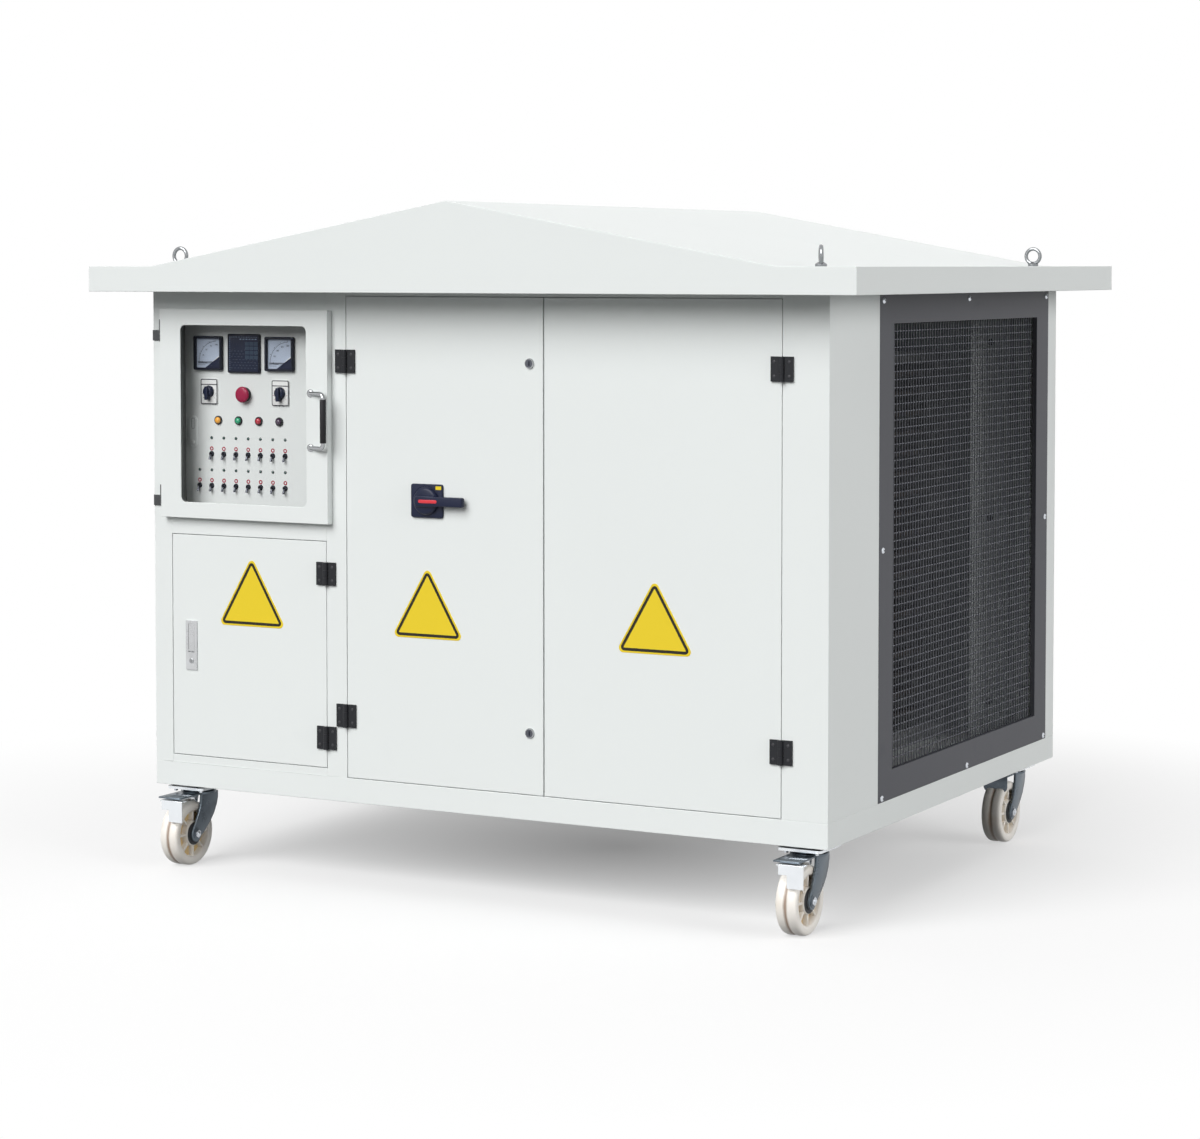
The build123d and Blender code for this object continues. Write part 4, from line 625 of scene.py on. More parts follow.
for corner in cornerNames:
    axle = Vector(joints[f"{corner}_roll"]["pos_m"])
    pin = Vector(joints[f"{corner}_swivel"]["pos_m"])
    wheelBody, forkBody = f"{corner}_wheel", f"{corner}_fork"
    mesh = bmesh.new()
    addLathe(mesh, caster["tread"], axle, toRight, 72, ring=True)
    addLathe(mesh, caster["hub"], axle, toRight, 40, ring=True)
    width, reach = caster["rib"]

    def rib():
        start, end = caster["ribSpan"]
        addBox(mesh, axle + Vector((-reach, -width / 2, start)), axle + Vector((reach, width / 2, end)),
            0.0008, 1)

    addTurned(mesh, axle, toRight, [2 * pi * i / caster["ribs"] for i in range(caster["ribs"])], rib)
    finishPiece(f"{corner}_wheel.tread", mesh, wheelBody, "nylonCream", [wheelBody], 50)
    mesh = bmesh.new()
    addLathe(mesh, caster["web"], axle, toRight, 56, ring=True)
    finishPiece(f"{corner}_wheel.web", mesh, wheelBody, "nylonAmber", [], 50)
    mesh = bmesh.new()
    for side in (toRight, toLeft):
        addLathe(mesh, caster["seal"], axle, side, 36)
    finishPiece(f"{corner}_wheel.seals", mesh, wheelBody, "sealDark", [], 30)

    mesh = bmesh.new()
    addLathe(mesh, caster["crown"], pin, upwards, 40, ring=True)
    foot = [(caster["foot"] * cos(radians(angle)), axle.z + caster["foot"] * sin(radians(angle)))
        for angle in range(180, 331, 15)]
    leg = caster["legFront"] + foot + caster["legRear"]
    for side in (-1, 1):
        spot = Vector((axle.x + side * (caster["legInner"] + caster["legSheet"]), axle.y, 0))
        addPrism(mesh, [(side * a, b) for a, b in leg], spot, (side, 0, 0), caster["legSheet"], 0.0008, 2)
        edge = [Vector((spot.x + side * 0.0004, axle.y + a, b)) for a, b in caster["legFront"] + foot[:4]]
        addTube(mesh, edge, caster["flange"], 8)
        addPrism(mesh, circleOutline(caster["boss"], 28), spot + Vector((side * 0.0012, 0, axle.z)),
            (side, 0, 0), 0.0012, 0.0004)
    half, end = caster["hoodHalf"], corner.split("_")[0]
    addBox(mesh, (axle.x - half, axle.y + caster["hoodFront"][end], caster["hoodZ"][0]),
        (axle.x + half, axle.y + caster["hoodRear"], caster["hoodZ"][1]), 0.0012)
    if end == "rear":
        apron = [(a, b) for a, b in roundedOutline(2 * half, 0.056, 0.014) if b < 0]
        apron = sorted(apron + [(-half, 0.012), (half, 0.012)], key=lambda point: atan2(point[1], point[0]))
        addPrism(mesh, apron, (axle.x, axle.y - 0.041, 0.1555), toFront, 0.003, 0.0008)
    finishPiece(f"{corner}_fork.shell", mesh, forkBody, "zincPlate", [forkBody], 35)
    mesh = bmesh.new()
    for side in (-1, 1):
        tip = axle + Vector((side * caster["tip"], 0, 0))
        addPrism(mesh, circleOutline(0.0098, 6, pi / 6), tip + Vector((side * 0.0052, 0, 0)), (side, 0, 0),
            0.006, 0.0012)
        addLathe(mesh, caster["nut"], tip, (side, 0, 0), 20)
    addLathe(mesh, caster["axle"], axle, toRight, 24)
    finishPiece(f"{corner}_fork.axle", mesh, forkBody, "brightZinc", [], 35)

mesh, nuts, rings, races = bmesh.new(), bmesh.new(), bmesh.new(), bmesh.new()
casterPlate = {
    "size": (0.102, 0.114), "corner": 0.008, "sheet": 0.006, "bolts": (0.071, 0.084), "top": 0.190,
    "bolt": [(0, -0.0125), (0.0042, -0.0125), (0.0048, -0.0115), (0.0048, 0), (0, 0)],
    "washer": [(0.0105, -0.0012), (0.0105, 0.0), (0.004, 0.0), (0.004, -0.0012)], "nut": (0.0085, 0.0075),
    "ring": [(0, 0), (0.0335, 0), (0.0340, -0.0012), (0.0340, -0.0068), (0.0330, -0.008), (0, -0.008)],
    "race": [(0, -0.006), (0.036, -0.006), (0.0385, -0.0080), (0.0385, -0.0115), (0.036, -0.0139),
    (0, -0.0139)],
    "pin": [(0.0, -0.0246), (0.0120, -0.0246), (0.0150, -0.0226), (0.0150, -0.0198), (0.0088, -0.0198),
    (0.0088, -0.0130)],
}
for corner in cornerNames:
    pin = Vector(joints[f"{corner}_swivel"]["pos_m"])
    under = Vector((pin.x, pin.y, casterPlate["top"] - casterPlate["sheet"]))
    addPrism(mesh, roundedOutline(*casterPlate["size"], casterPlate["corner"]), under, downwards,
        -casterPlate["sheet"], up=(0, 1, 0))
    for sideX in (-1, 1):
        for sideY in (-1, 1):
            spot = under + Vector((sideX * casterPlate["bolts"][0] / 2, sideY * casterPlate["bolts"][1] / 2,
            0))
            size, high = casterPlate["nut"]
            addPrism(nuts, circleOutline(size, 6), spot - Vector((0, 0, high)), downwards, high, 0.0009,
                up=(0, 1, 0))
            addLathe(nuts, casterPlate["bolt"], spot, upwards, 16)
            addLathe(nuts, casterPlate["washer"], spot, upwards, 24, True)
    addLathe(rings, casterPlate["ring"], under, upwards, 40)
    addLathe(races, casterPlate["race"], under, upwards, 40)
    addLathe(races, casterPlate["pin"], under, upwards, 32)
finishPiece("casterPlates", mesh, "cabinet", "pedalZinc", ["caster_plates"])
finishPiece("casterNuts", nuts, "cabinet", "brightZinc")
finishPiece("casterRings", rings, "cabinet", "ringRust")
finishPiece("casterRaces", races, "cabinet", "zincPlate")
for corner in cornerNames[:2]:
    dressed(f"{corner}_pedal", "pedalZinc", 0.0013, 3, sharper=40)
print("lifting eyes and casters")

# Hinges

hingePlan = {"reach": 0.0175, "rise": 0.0155, "inset": 0.0265, "face": -0.693, "chromeEdge": -0.83,
    "screw": [(0, 0.0012), (0.0024, 0.0011), (0.0034, 0.0006), (0.0036, 0.0), (0, 0)]}
dressed("hinge_leaves", "hingeBlack", 0.0007, keep=lambda spot: spot.x > hingePlan["chromeEdge"],
    label="black")
dressed("hinge_leaves", "hingeSteel", 0.0006, keep=lambda spot: spot.x < hingePlan["chromeEdge"],
    label="chrome")
dressed("window_door_hinges", "hingeSteel", 0.0006)
fixedScrews = bmesh.new()
for leaf in ("cable", "middle", "right"):
    node = f"{leaf}_door_hinges"
    dressed(node, "hingeBlack", 0.0007)
    pinX = joints[f"{leaf}_door_hinge"]["pos_m"][0]
    moving = bmesh.new()
    low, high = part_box(node)
    for middle in (low[2] + hingePlan["inset"], high[2] - hingePlan["inset"]):
        for rise in (-hingePlan["rise"], hingePlan["rise"]):
            for side in (-1, 1):
                target = fixedScrews if (side > 0) == (leaf != "middle") else moving
                spot = Vector((pinX + side * hingePlan["reach"], hingePlan["face"], middle + rise))
                addLathe(target, hingePlan["screw"], spot, toFront, 14)
    finishPiece(f"{leaf}HingeScrews", moving, bodyOf[node], "screwDark")
finishPiece("fixedHingeScrews", fixedScrews, "cabinet", "screwDark")
print("hinges")

# Pull handle of the window door

pull = {
    "start": (-0.4155, -0.708), "end": (-0.3695, -0.726), "half": 0.0625, "rod": 0.005, "bend": 0.012,
    "foot": [(0, 0.0035), (0.0062, 0.0035), (0.0085, 0.0022), (0.0092, 0.0), (0, 0)],
    "grip": [(0.0049, -0.050), (0.0064, -0.050), (0.0072, -0.0488), (0.0072, 0.0488), (0.0064, 0.050),
    (0.0049, 0.050)],
}
handleMiddle = (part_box("handle_grip")[0][2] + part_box("handle_grip")[1][2]) / 2
corners = [(*pull[end], handleMiddle + rise * pull["half"])
    for end, rise in (("start", 1), ("end", 1), ("end", -1), ("start", -1))]
mesh = bmesh.new()
addTube(mesh, roundedPath(corners, pull["bend"]), pull["rod"], 18)
for end in (corners[0], corners[-1]):
    addLathe(mesh, pull["foot"], end, toFront, 24)
finishPiece("handleRod", mesh, "window_leaf", "chrome", ["door_handle"], 50)
mesh = bmesh.new()
addLathe(mesh, pull["grip"], (*pull["end"], handleMiddle), upwards, 28)
finishPiece("handleGrip", mesh, "window_leaf", "gripBlack", ["handle_grip"])

# Locks

dressed("flush_lock", "satinSteel", 0.0007)
dressed("lock_flap", "satinSteel", 0.0007)
dressed("lock_button", "chrome", 0.0006)
keySlot = {"x": -0.767, "half": (0.0008, 0.0038), "sunk": 0.0002, "proud": 0.0001}
mesh = bmesh.new()
low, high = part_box("lock_button")
middle = Vector((keySlot["x"], low[1], (low[2] + high[2]) / 2))
addBox(mesh, middle - Vector((keySlot["half"][0], keySlot["proud"], keySlot["half"][1])),
    middle + Vector((keySlot["half"][0], keySlot["sunk"], keySlot["half"][1])))
finishPiece("lockKeySlot", mesh, "lock_button", "sealDark")
quarterLock = {"bezel": [(0.0086, 0.0030), (0.0091, 0.0042), (0.0102, 0.0042), (0.0112, 0.0030),
    (0.0116, 0.0002), (0.0086, 0.0002)], "face": -0.688, "slot": (0.0034, 0.0105, 0.0016), "proud": 0.00015}
bezels = bmesh.new()
for lock in ("upper_lock", "lower_lock"):
    centre = Vector(joints[f"{lock}_turn"]["pos_m"])
    addLathe(bezels, quarterLock["bezel"], (centre.x, quarterLock["face"], centre.z), toFront, 36, ring=True)
    dressed(lock, "leverSteel", 0.0006)
    mesh = bmesh.new()
    addPrism(mesh, roundedOutline(*quarterLock["slot"]),
        (centre.x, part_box(lock)[0][1] - quarterLock["proud"], centre.z), toFront, 0.0003)
    finishPiece(f"{lock}.slot", mesh, bodyOf[lock], "panelBlack")
finishPiece("lockBezels", bezels, "middle_leaf", "chrome")
print("handle and locks")

# Rotary disconnect

disconnect = {
    "spot": (-0.113, -0.694, 0.892), "plate": (0.083, 0.076, 0.0055), "thick": 0.006,
    "ring": (0.0355, 0.0016),
    "knob": [(0, 0.0100), (0.0255, 0.0100), (0.0288, 0.0088), (0.0308, 0.0062), (0.0320, 0.0026),
    (0.0320, 0.0003), (0, 0.0003)],
    "lever": (0.101, 0.0215, 0.0042), "leverDeep": 0.012, "leverFace": 0.0160,
    "boss": (0.056, 0.026, 0.009), "bossPlace": (0.004, 0.0002, 0), "bossDeep": 0.0150,
    "bar": (0.048, 0.0078, 0.0036), "barPlace": (0.012, -0.0008, 0),
    "tag": (0.015, 0.008, 0.0012), "tagPlace": (0.0315, -0.0005, 0.0300),
}
spot = Vector(disconnect["spot"])
mesh = bmesh.new()
addPrism(mesh, roundedOutline(*disconnect["plate"]), spot, toFront, disconnect["thick"], 0.0014, 3)
addFrame(mesh, circleOutline(disconnect["ring"][0], 56), disconnect["ring"][1],
    spot + Vector((0, -0.0004, 0)), toFront, 0.0006)
finishPiece("disconnectPlate", mesh, "middle_leaf", "knobNavy", ["disconnect_plate"])
mesh = bmesh.new()
addPrism(mesh, roundedOutline(*disconnect["tag"]), spot + Vector(disconnect["tagPlace"]), toFront, 0.0005)
finishPiece("disconnectTag", mesh, "middle_leaf", "plateYellow")
mesh = bmesh.new()
addLathe(mesh, disconnect["knob"], spot, toFront, 56)
leverFace = spot - Vector((0, disconnect["leverFace"], 0))
addPrism(mesh, roundedOutline(*disconnect["lever"]), leverFace + Vector((disconnect["lever"][0] / 2, 0, 0)),
    toFront, disconnect["leverDeep"], 0.0018, 3)
addPrism(mesh, roundedOutline(*disconnect["boss"]), leverFace + Vector(disconnect["bossPlace"]), toFront,
    disconnect["bossDeep"], 0.0035, 4)
finishPiece("disconnectLever", mesh, "disconnect_handle", "knobNavy", ["disconnect_handle"])
mesh = bmesh.new()
addPrism(mesh, roundedOutline(*disconnect["bar"]), leverFace + Vector(disconnect["barPlace"]), toFront,
    0.0012, 0.0005)
finishPiece("disconnectBar", mesh, "disconnect_handle", "barRed")

# Yellow plates, left bare

yellowPlate = {"size": (0.190, 0.164), "corner": 0.010, "face": -0.6888, "z": 0.6620, "thick": 0.0008,
    "inner": (0.1764, 0.15244), "innerCorner": 0.0080, "rim": 0.0066, "drop": 0.0017, "proud": 0.0002,
    "spots": {"cable_leaf": -0.595, "middle_leaf": -0.1145, "right_leaf": 0.462}}
for leaf, x in yellowPlate["spots"].items():
    spot = Vector((x, yellowPlate["face"], yellowPlate["z"]))
    mesh = bmesh.new()
    addPrism(mesh, triangleOutline(*yellowPlate["size"], yellowPlate["corner"]), spot, toFront,
        yellowPlate["thick"], 0.0002, 1)
    finishPiece(f"{leaf}.yellowPlate", mesh, leaf, "plateYellow")
    mesh = bmesh.new()
    outer = [(a, b - yellowPlate["drop"]) for a, b in triangleOutline(*yellowPlate["inner"],
        yellowPlate["innerCorner"])]
    addFrame(mesh, outer, yellowPlate["rim"], spot - Vector((0, yellowPlate["proud"], 0)), toFront,
        yellowPlate["proud"])
    finishPiece(f"{leaf}.plateRim", mesh, leaf, "plateRim")
print("disconnect and plates")

# Control panel instruments

panelFace = -0.643
instrument = {
    "spots": [(-0.74385, 1.215), (-0.54135, 1.215)], "side": 0.080, "bezel": 0.009, "window": 0.069,
    "lip": 0.0028,
    "body": (0.070, 0.040), "dialFace": -0.6458, "pivot": 0.021, "arc": 0.0485, "ticks": 20, "ink": 0.0002,
    "majorTick": (0.0046, 0.0007), "minorTick": (0.0024, 0.0004), "numberReach": 0.0405, "numberSize": 0.0052,
    "maskCut": 0.0070, "edgeCut": 0.0042, "maskDeep": 0.0044, "maskProud": 0.0046,
    "lines": [(-0.004, -0.0243, 0.0014), (-0.010, -0.0283, 0.0006)], "lineStart": -0.031,
    "scales": [(0, 25, 50, 75, 100), (0, 125, 250, 375, 500)],
}
cases, dials, marks, masks, edges = (bmesh.new() for _ in range(5))
side, window, lip, ink = (instrument[key] for key in ("side", "window", "lip", "ink"))
leg, cut, edgeCut = window / 2, instrument["maskCut"], instrument["edgeCut"]
for (x, z), scale in zip(instrument["spots"], instrument["scales"]):
    spot = Vector((x, panelFace, z))
    front = spot - Vector((0, instrument["bezel"], 0))
    addFrame(cases, roundedOutline(side, side, 0.004), (side - window) / 2, front, toFront,
        instrument["bezel"])
    addFrame(cases, roundedOutline(side - lip, side - lip, 0.003), (side - window - lip) / 2,
        front - Vector((0, 0.0008, 0)), toFront, 0.0012)
    wide, deep = instrument["body"]
    addPrism(cases, roundedOutline(wide, wide, 0.002), spot + Vector((0, deep, 0)), toRear, deep)
    dial = Vector((x, instrument["dialFace"], z))
    addPrism(dials, roundedOutline(window, window, 0.0012), dial, toFront, 0.0012)
    pivot = dial + Vector((instrument["pivot"], -ink, -instrument["pivot"]))
    addPrism(masks, [(leg, -leg), (leg, -cut), (-cut, -leg)], dial - Vector((0, instrument["maskProud"], 0)),
        toFront, instrument["maskDeep"])
    addPrism(edges, [(-cut, -leg), (-edgeCut, -leg), (leg, -edgeCut), (leg, -cut)],
        dial - Vector((0, 0.0044, 0)), toFront, 0.004)
    arc = instrument["arc"]
    for step in range(instrument["ticks"] + 1):
        long, wide = instrument["minorTick" if step % 5 else "majorTick"]

        def tick():
            addBox(marks, pivot + Vector((-arc - long, -ink, -wide / 2)), pivot + Vector((-arc, 0, wide / 2)))

        addTurned(marks, pivot, (0, 1, 0), [radians(90 * step / instrument["ticks"])], tick)
    bow = [(-(arc - 0.0003 * way) * cos(radians(90 * i / 24)),
        (arc - 0.0003 * way) * sin(radians(90 * i / 24)))
        for way, order in ((-1, range(25)), (1, range(24, -1, -1))) for i in order]
    addPrism(marks, bow, pivot - Vector((0, ink, 0)), toFront, ink)
    for index, number in enumerate(scale):
        angle, reach = radians(90 * index / (len(scale) - 1)), instrument["numberReach"]
        addNumber(marks, number, instrument["numberSize"],
            pivot + Vector((-reach * cos(angle) + 0.001, -ink, reach * sin(angle))))
    for end, low, high in instrument["lines"]:
        addBox(marks, (x + instrument["lineStart"], dial.y - 0.0003, z + low),
        (x + end, dial.y, z + low + high))
finishPiece("meterCases", cases, "panel", "panelBlack", ["panel_instruments"])
finishPiece("meterDials", dials, "panel", "dialPale")
finishPiece("meterMarks", marks, "panel", "dialMark", smooth=20)
finishPiece("meterMasks", masks, "panel", "knobNavy")
finishPiece("meterEdges", edges, "panel", "labelWhite")
for needle in ("left_needle", "right_needle"):
    dressed(needle, "needleDark", 0)

# Power meter: a dark face with a raised keypad border and a lighter display

powerMeter = {
    "spot": (-0.6426, 1.215), "bezel": 0.006, "case": (0.0915, 0.0915, 0.004), "body": (0.086, 0.086, 0.002),
    "bodyDeep": 0.050, "border": (0.0865, 0.0865, 0.003), "glass": (0.0828, 0.0828, 0.0016), "proud": 0.0005,
    "cells": {"count": (3, 4), "start": (0.0105, 0.0230), "pitch": (0.0125, -0.0105),
    "size": (0.0112, 0.0085, 0.001)},
    "dots": {"count": 17, "start": -0.0375, "pitch": 0.0047, "edge": 0.0385, "radius": 0.0009},
    "bars": {"count": 6, "start": -0.008, "pitch": 0.0086, "z": 0.0335, "size": (0.0052, 0.0018, 0.0006)},
    "keys": {"count": (8, 7), "start": (-0.033, -0.034), "pitch": (0.0094, 0.0066),
    "size": (0.0046, 0.0016, 0.0006),
    "clear": (0.002, -0.012)},
}
x, z = powerMeter["spot"]
front = Vector((x, panelFace - powerMeter["bezel"], z))
mesh = bmesh.new()
addPrism(mesh, roundedOutline(*powerMeter["case"]), front, toFront, powerMeter["bezel"], 0.0016, 3)
deep = powerMeter["bodyDeep"]
addPrism(mesh, roundedOutline(*powerMeter["body"]), front + Vector((0, powerMeter["bezel"] + deep, 0)),
    toRear, deep)
addFrame(mesh, roundedOutline(*powerMeter["border"]), 0.0016, front - Vector((0, 0.0010, 0)), toFront, 0.0012)
finishPiece("powerMeterCase", mesh, "panel", "panelBlack")
mesh = bmesh.new()
addPrism(mesh, roundedOutline(*powerMeter["glass"]), front - Vector((0, 0.0003, 0)), toFront, 0.0005)
finishPiece("powerMeterGlass", mesh, "panel", "displayGlass")
cells, dots = bmesh.new(), bmesh.new()


def addMark(mesh, outline, across, up, depth=0.0002):
    addPrism(mesh, outline, front + Vector((across, -powerMeter["proud"], up)), toFront, depth)


plan = powerMeter["cells"]
for row in range(plan["count"][1]):
    for column in range(plan["count"][0]):
        addMark(cells, roundedOutline(*plan["size"]), plan["start"][0] + plan["pitch"][0] * column,
            plan["start"][1] + plan["pitch"][1] * row, 0.0003)
plan = powerMeter["dots"]
for index in range(plan["count"]):
    along = plan["start"] + plan["pitch"] * index
    for across, up in ((along, plan["edge"]), (-plan["edge"], along)):
        addMark(dots, circleOutline(plan["radius"], 8), across, up)
plan = powerMeter["bars"]
for index in range(plan["count"]):
    addMark(dots, roundedOutline(*plan["size"]), plan["start"] + plan["pitch"] * index, plan["z"])
plan = powerMeter["keys"]
for row in range(plan["count"][1]):
    for column in range(plan["count"][0]):
        across = plan["start"][0] + plan["pitch"][0] * (column + row % 2 / 2)
        up = plan["start"][1] + plan["pitch"][1] * row
        if not (across > plan["clear"][0] and up > plan["clear"][1]):
            addMark(cells, roundedOutline(*plan["size"]), across, up)
finishPiece("powerMeterCells", cells, "panel", "displayCell")
finishPiece("powerMeterDots", dots, "panel", "displayMark")

# Cam switches

camSwitch = {
    "spots": {"left_selector": (-0.74385, 1.124), "right_selector": (-0.54135, 1.124)},
    "plate": (0.048, 0.060, 0.004), "thick": 0.003, "body": (0.042, 0.042, 0.002), "bodyPlace": 0.040,
    "bodyDeep": 0.038, "border": (0.0472, 0.0592, 0.0038), "rim": 0.0019, "line": (0.0225, 0.0158, 0.0178),
    "tick": (0.0004, 0.0120, 0.0142), "dialLow": 0.0055, "ink": 0.0002,
    "knob": [(0, 0.0090), (0.0108, 0.0090), (0.0120, 0.0082), (0.0126, 0.0062), (0.0130, 0.0032),
    (0.0140, 0.0026), (0.0144, 0.0016), (0.0144, 0.0003), (0, 0.0003)],
    "pointer": [(-0.0050, -0.0150), (-0.0036, -0.0192), (0.0036, -0.0192), (0.0050, -0.0150),
    (0.0044, 0.0112),
    (0.0030, 0.0126), (-0.0030, 0.0126), (-0.0044, 0.0112)], "pointerDeep": 0.0139, "pointerFace": 0.0142,
}
plates, borders, redTicks, darkTicks = (bmesh.new() for _ in range(4))
for node, (x, z) in camSwitch["spots"].items():
    front = Vector((x, panelFace - camSwitch["thick"], z))
    addPrism(plates, roundedOutline(*camSwitch["plate"]), front, toFront, camSwitch["thick"], 0.0008, 2)
    addPrism(plates, roundedOutline(*camSwitch["body"]), (x, panelFace + camSwitch["bodyPlace"], z), toRear,
        camSwitch["bodyDeep"])
    addFrame(borders, roundedOutline(*camSwitch["border"]), camSwitch["rim"], front - Vector((0, 0.0003, 0)),
        toFront, 0.0004)
    half, low, high = camSwitch["line"]
    addBox(borders, (x - half, front.y - 0.0003, z + low), (x + half, front.y, z + high))
    ticks = redTicks if node.startswith("right") else darkTicks
    for step in range(-4, 5):

        def tick():
            half, low, high = camSwitch["tick"]
            addBox(ticks, (x - half, front.y - camSwitch["ink"], z + low), (x + half, front.y, z + high))

        addTurned(ticks, (x, front.y, z - camSwitch["dialLow"]), (0, 1, 0), [radians(30 * step)], tick)
    mesh = bmesh.new()
    addLathe(mesh, camSwitch["knob"], (x, front.y, z), toFront, 40)
    addPrism(mesh, camSwitch["pointer"], (x, front.y - camSwitch["pointerFace"], z), toFront,
        camSwitch["pointerDeep"], 0.0012, 3)
    finishPiece(f"{node}.knob", mesh, bodyOf[node], "knobNavy", [node])
finishPiece("switchPlates", plates, "panel", "labelWhite")
finishPiece("switchBorders", borders, "panel", "panelBlack")
finishPiece("switchTicksRed", redTicks, "panel", "labelRed")
finishPiece("switchTicksDark", darkTicks, "panel", "dialMark")

# Emergency stop, lamps and small lights

stopButton = {"spot": (-0.6426, 1.119), "cap": [
    (0, 0.0172), (0.0070, 0.0170), (0.0125, 0.0163), (0.0165, 0.0150), (0.0184, 0.0134), (0.0187, 0.0118),
    (0.0180, 0.0104), (0.0165, 0.0096), (0.0074, 0.0095), (0.0070, 0.0088), (0.0070, 0.0050), (0, 0.0050)],
    "collar": [(0.0078, 0.0), (0.0165, 0.0), (0.0172, 0.0008), (0.0168, 0.0024), (0.0150, 0.0040),
    (0.0142, 0.0048), (0.0135, 0.0050), (0.0078, 0.0050)],
    "body": [(0, -0.040), (0.0125, -0.040), (0.0125, 0.0), (0, 0.0)]}
x, z = stopButton["spot"]
mesh = bmesh.new()
addLathe(mesh, stopButton["cap"], (x, panelFace, z), toFront, 48)
finishPiece("stopCap", mesh, "estop_button", "stopRed", ["estop_button"], 40)
mesh = bmesh.new()
addLathe(mesh, stopButton["collar"], (x, panelFace, z), toFront, 48, ring=True)
addLathe(mesh, stopButton["body"], (x, panelFace, z), toFront, 24)
finishPiece("stopCollar", mesh, "panel", "moulding", ["switch_bodies"])

lamp = {
    "spots": {"lampAmber": -0.71865, "lampGreen": -0.66095, "lampRed": -0.60325, "lampDark": -0.54555},
    "z": 1.057,
    "rim": [(0.0072, 0.0032), (0.0082, 0.0044), (0.0096, 0.0042), (0.0105, 0.0026), (0.0105, 0.0),
    (0.0072, 0.0)],
    "lens": [(0, 0.0086), (0.0030, 0.0083), (0.0056, 0.0072), (0.0070, 0.0054), (0.0074, 0.0030),
    (0.0074, 0.0), (0, 0)], "body": [(0, -0.030), (0.009, -0.030), (0.009, 0), (0, 0)],
}
rims = bmesh.new()
for index, (finish, x) in enumerate(lamp["spots"].items(), 1):
    spot = Vector((x, panelFace, lamp["z"]))
    addLathe(rims, lamp["rim"], spot, toFront, 32, ring=True)
    addLathe(rims, lamp["body"], spot, toFront, 20)
    mesh = bmesh.new()
    addLathe(mesh, lamp["lens"], spot, toFront, 28)
    finishPiece(f"lampLens.{index}", mesh, "panel", finish, ["indicator_lamps"])
finishPiece("lampRims", rims, "panel", "moulding")

switchRows = {"right": -0.5301, "pitch": 0.0348}
smallLight = {
    "rows": ((7, 1.015), (8, 0.939)), "socket": [(0.0029, 0.0010), (0.0036, 0.0008), (0.0038, 0.0),
    (0.0029, 0.0)],
    "dome": [(0, 0.0022), (0.0014, 0.0020), (0.0026, 0.0013), (0.0030, 0.0002), (0.0030, 0.0), (0, 0)],
}
toggle = {
    "rows": {"upper_toggles": (7, 0.977), "lower_toggles": (8, 0.902)},
    "path": [(0.0, 0.0030, 0.0006), (0.0, -0.0030, -0.0008), (0.0, -0.0056, -0.0040), (0.0, -0.0072, -0.0090),
    (0.0, -0.0080, -0.0132)], "thick": (0.0021, 0.0021, 0.0024, 0.0031, 0.0029),
    "nut": (0.0066, 0.0022), "bush": [(0.0038, 0.0044), (0.0050, 0.0044), (0.0054, 0.0038), (0.0054, 0.0),
    (0.0038, 0.0)],
    "label": [(0.0026, 0.0005), (0.0050, 0.0005), (0.0050, 0.0), (0.0026, 0.0)], "labelRise": 0.0125,
    "bodyLow": (-0.0070, 0.0025, -0.0070), "bodyHigh": (0.0070, 0.0205, 0.0070),
}


def rowSpots(count, z):
    return [Vector((switchRows["right"] - switchRows["pitch"] * index, panelFace, z))
    for index in range(count)]


lights, sockets = bmesh.new(), bmesh.new()
nuts, labels, bodies = bmesh.new(), bmesh.new(), bmesh.new()
for row in smallLight["rows"]:
    for spot in rowSpots(*row):
        addLathe(lights, smallLight["dome"], spot, toFront, 14)
        addLathe(sockets, smallLight["socket"], spot, toFront, 16, True)
for node, row in toggle["rows"].items():
    levers = bmesh.new()
    for spot in rowSpots(*row):
        addTube(levers, [spot + Vector(point) for point in toggle["path"]], toggle["thick"], 12)
        size, high = toggle["nut"]
        addPrism(nuts, circleOutline(size, 6), spot - Vector((0, high, 0)), toFront, high, 0.0005, 1)
        addLathe(nuts, toggle["bush"], spot, toFront, 18, True)
        addLathe(labels, toggle["label"], spot + Vector((0, 0, toggle["labelRise"])), toFront, 20, True)
        addBox(bodies, spot + Vector(toggle["bodyLow"]), spot + Vector(toggle["bodyHigh"]), 0.0006, 1)
    finishPiece(f"{node}.levers", levers, bodyOf[node], "leverSteel", [node])
finishPiece("smallLights", lights, "panel", "ledGreen")
finishPiece("smallLightRims", sockets, "panel", "moulding")
finishPiece("toggleNuts", nuts, "panel", "nutDark")
finishPiece("toggleLabels", labels, "panel", "labelRed")
finishPiece("toggleBodies", bodies, "panel", "panelBlack")

# Slide latch of the control panel

latch = {
    "spot": (-0.7905, 1.0280), "size": (0.0235, 0.0760, 0.01165), "thick": 0.0026,
    "groove": (0.0185, 0.0710, 0.00905),
    "button": [(0, 0.0030), (0.0034, 0.0030), (0.0046, 0.0022), (0.0050, 0.0), (0, 0)],
    "buttonPlace": (0, 0, -0.0245),
    "slot": (0.0108, 0.0260, 0.0053), "slotPlace": (0, -0.0002, 0.0200),
}
x, z = latch["spot"]
front = Vector((x, panelFace - latch["thick"], z))
mesh = bmesh.new()
addPrism(mesh, roundedOutline(*latch["size"], 8), front, toFront, latch["thick"], 0.0011, 3)
addFrame(mesh, roundedOutline(*latch["groove"], 8), 0.0012, front - Vector((0, 0.0010, 0)), toFront, 0.0012)
addLathe(mesh, latch["button"], front + Vector(latch["buttonPlace"]), toFront, 28)
finishPiece("panelLatch", mesh, "panel", "bodyPaint")
# a grey ring round the slot of the latch, painted shade for the shadow line at the slot's edge
mesh = bmesh.new()
addFrame(mesh, roundedOutline(*latch["slot"], 8), 0.0011, front + Vector(latch["slotPlace"]), toFront, 0.0004)
finishPiece("panelLatchSlotShade", mesh, "panel", "slotShadeGrey")
print("control panel")
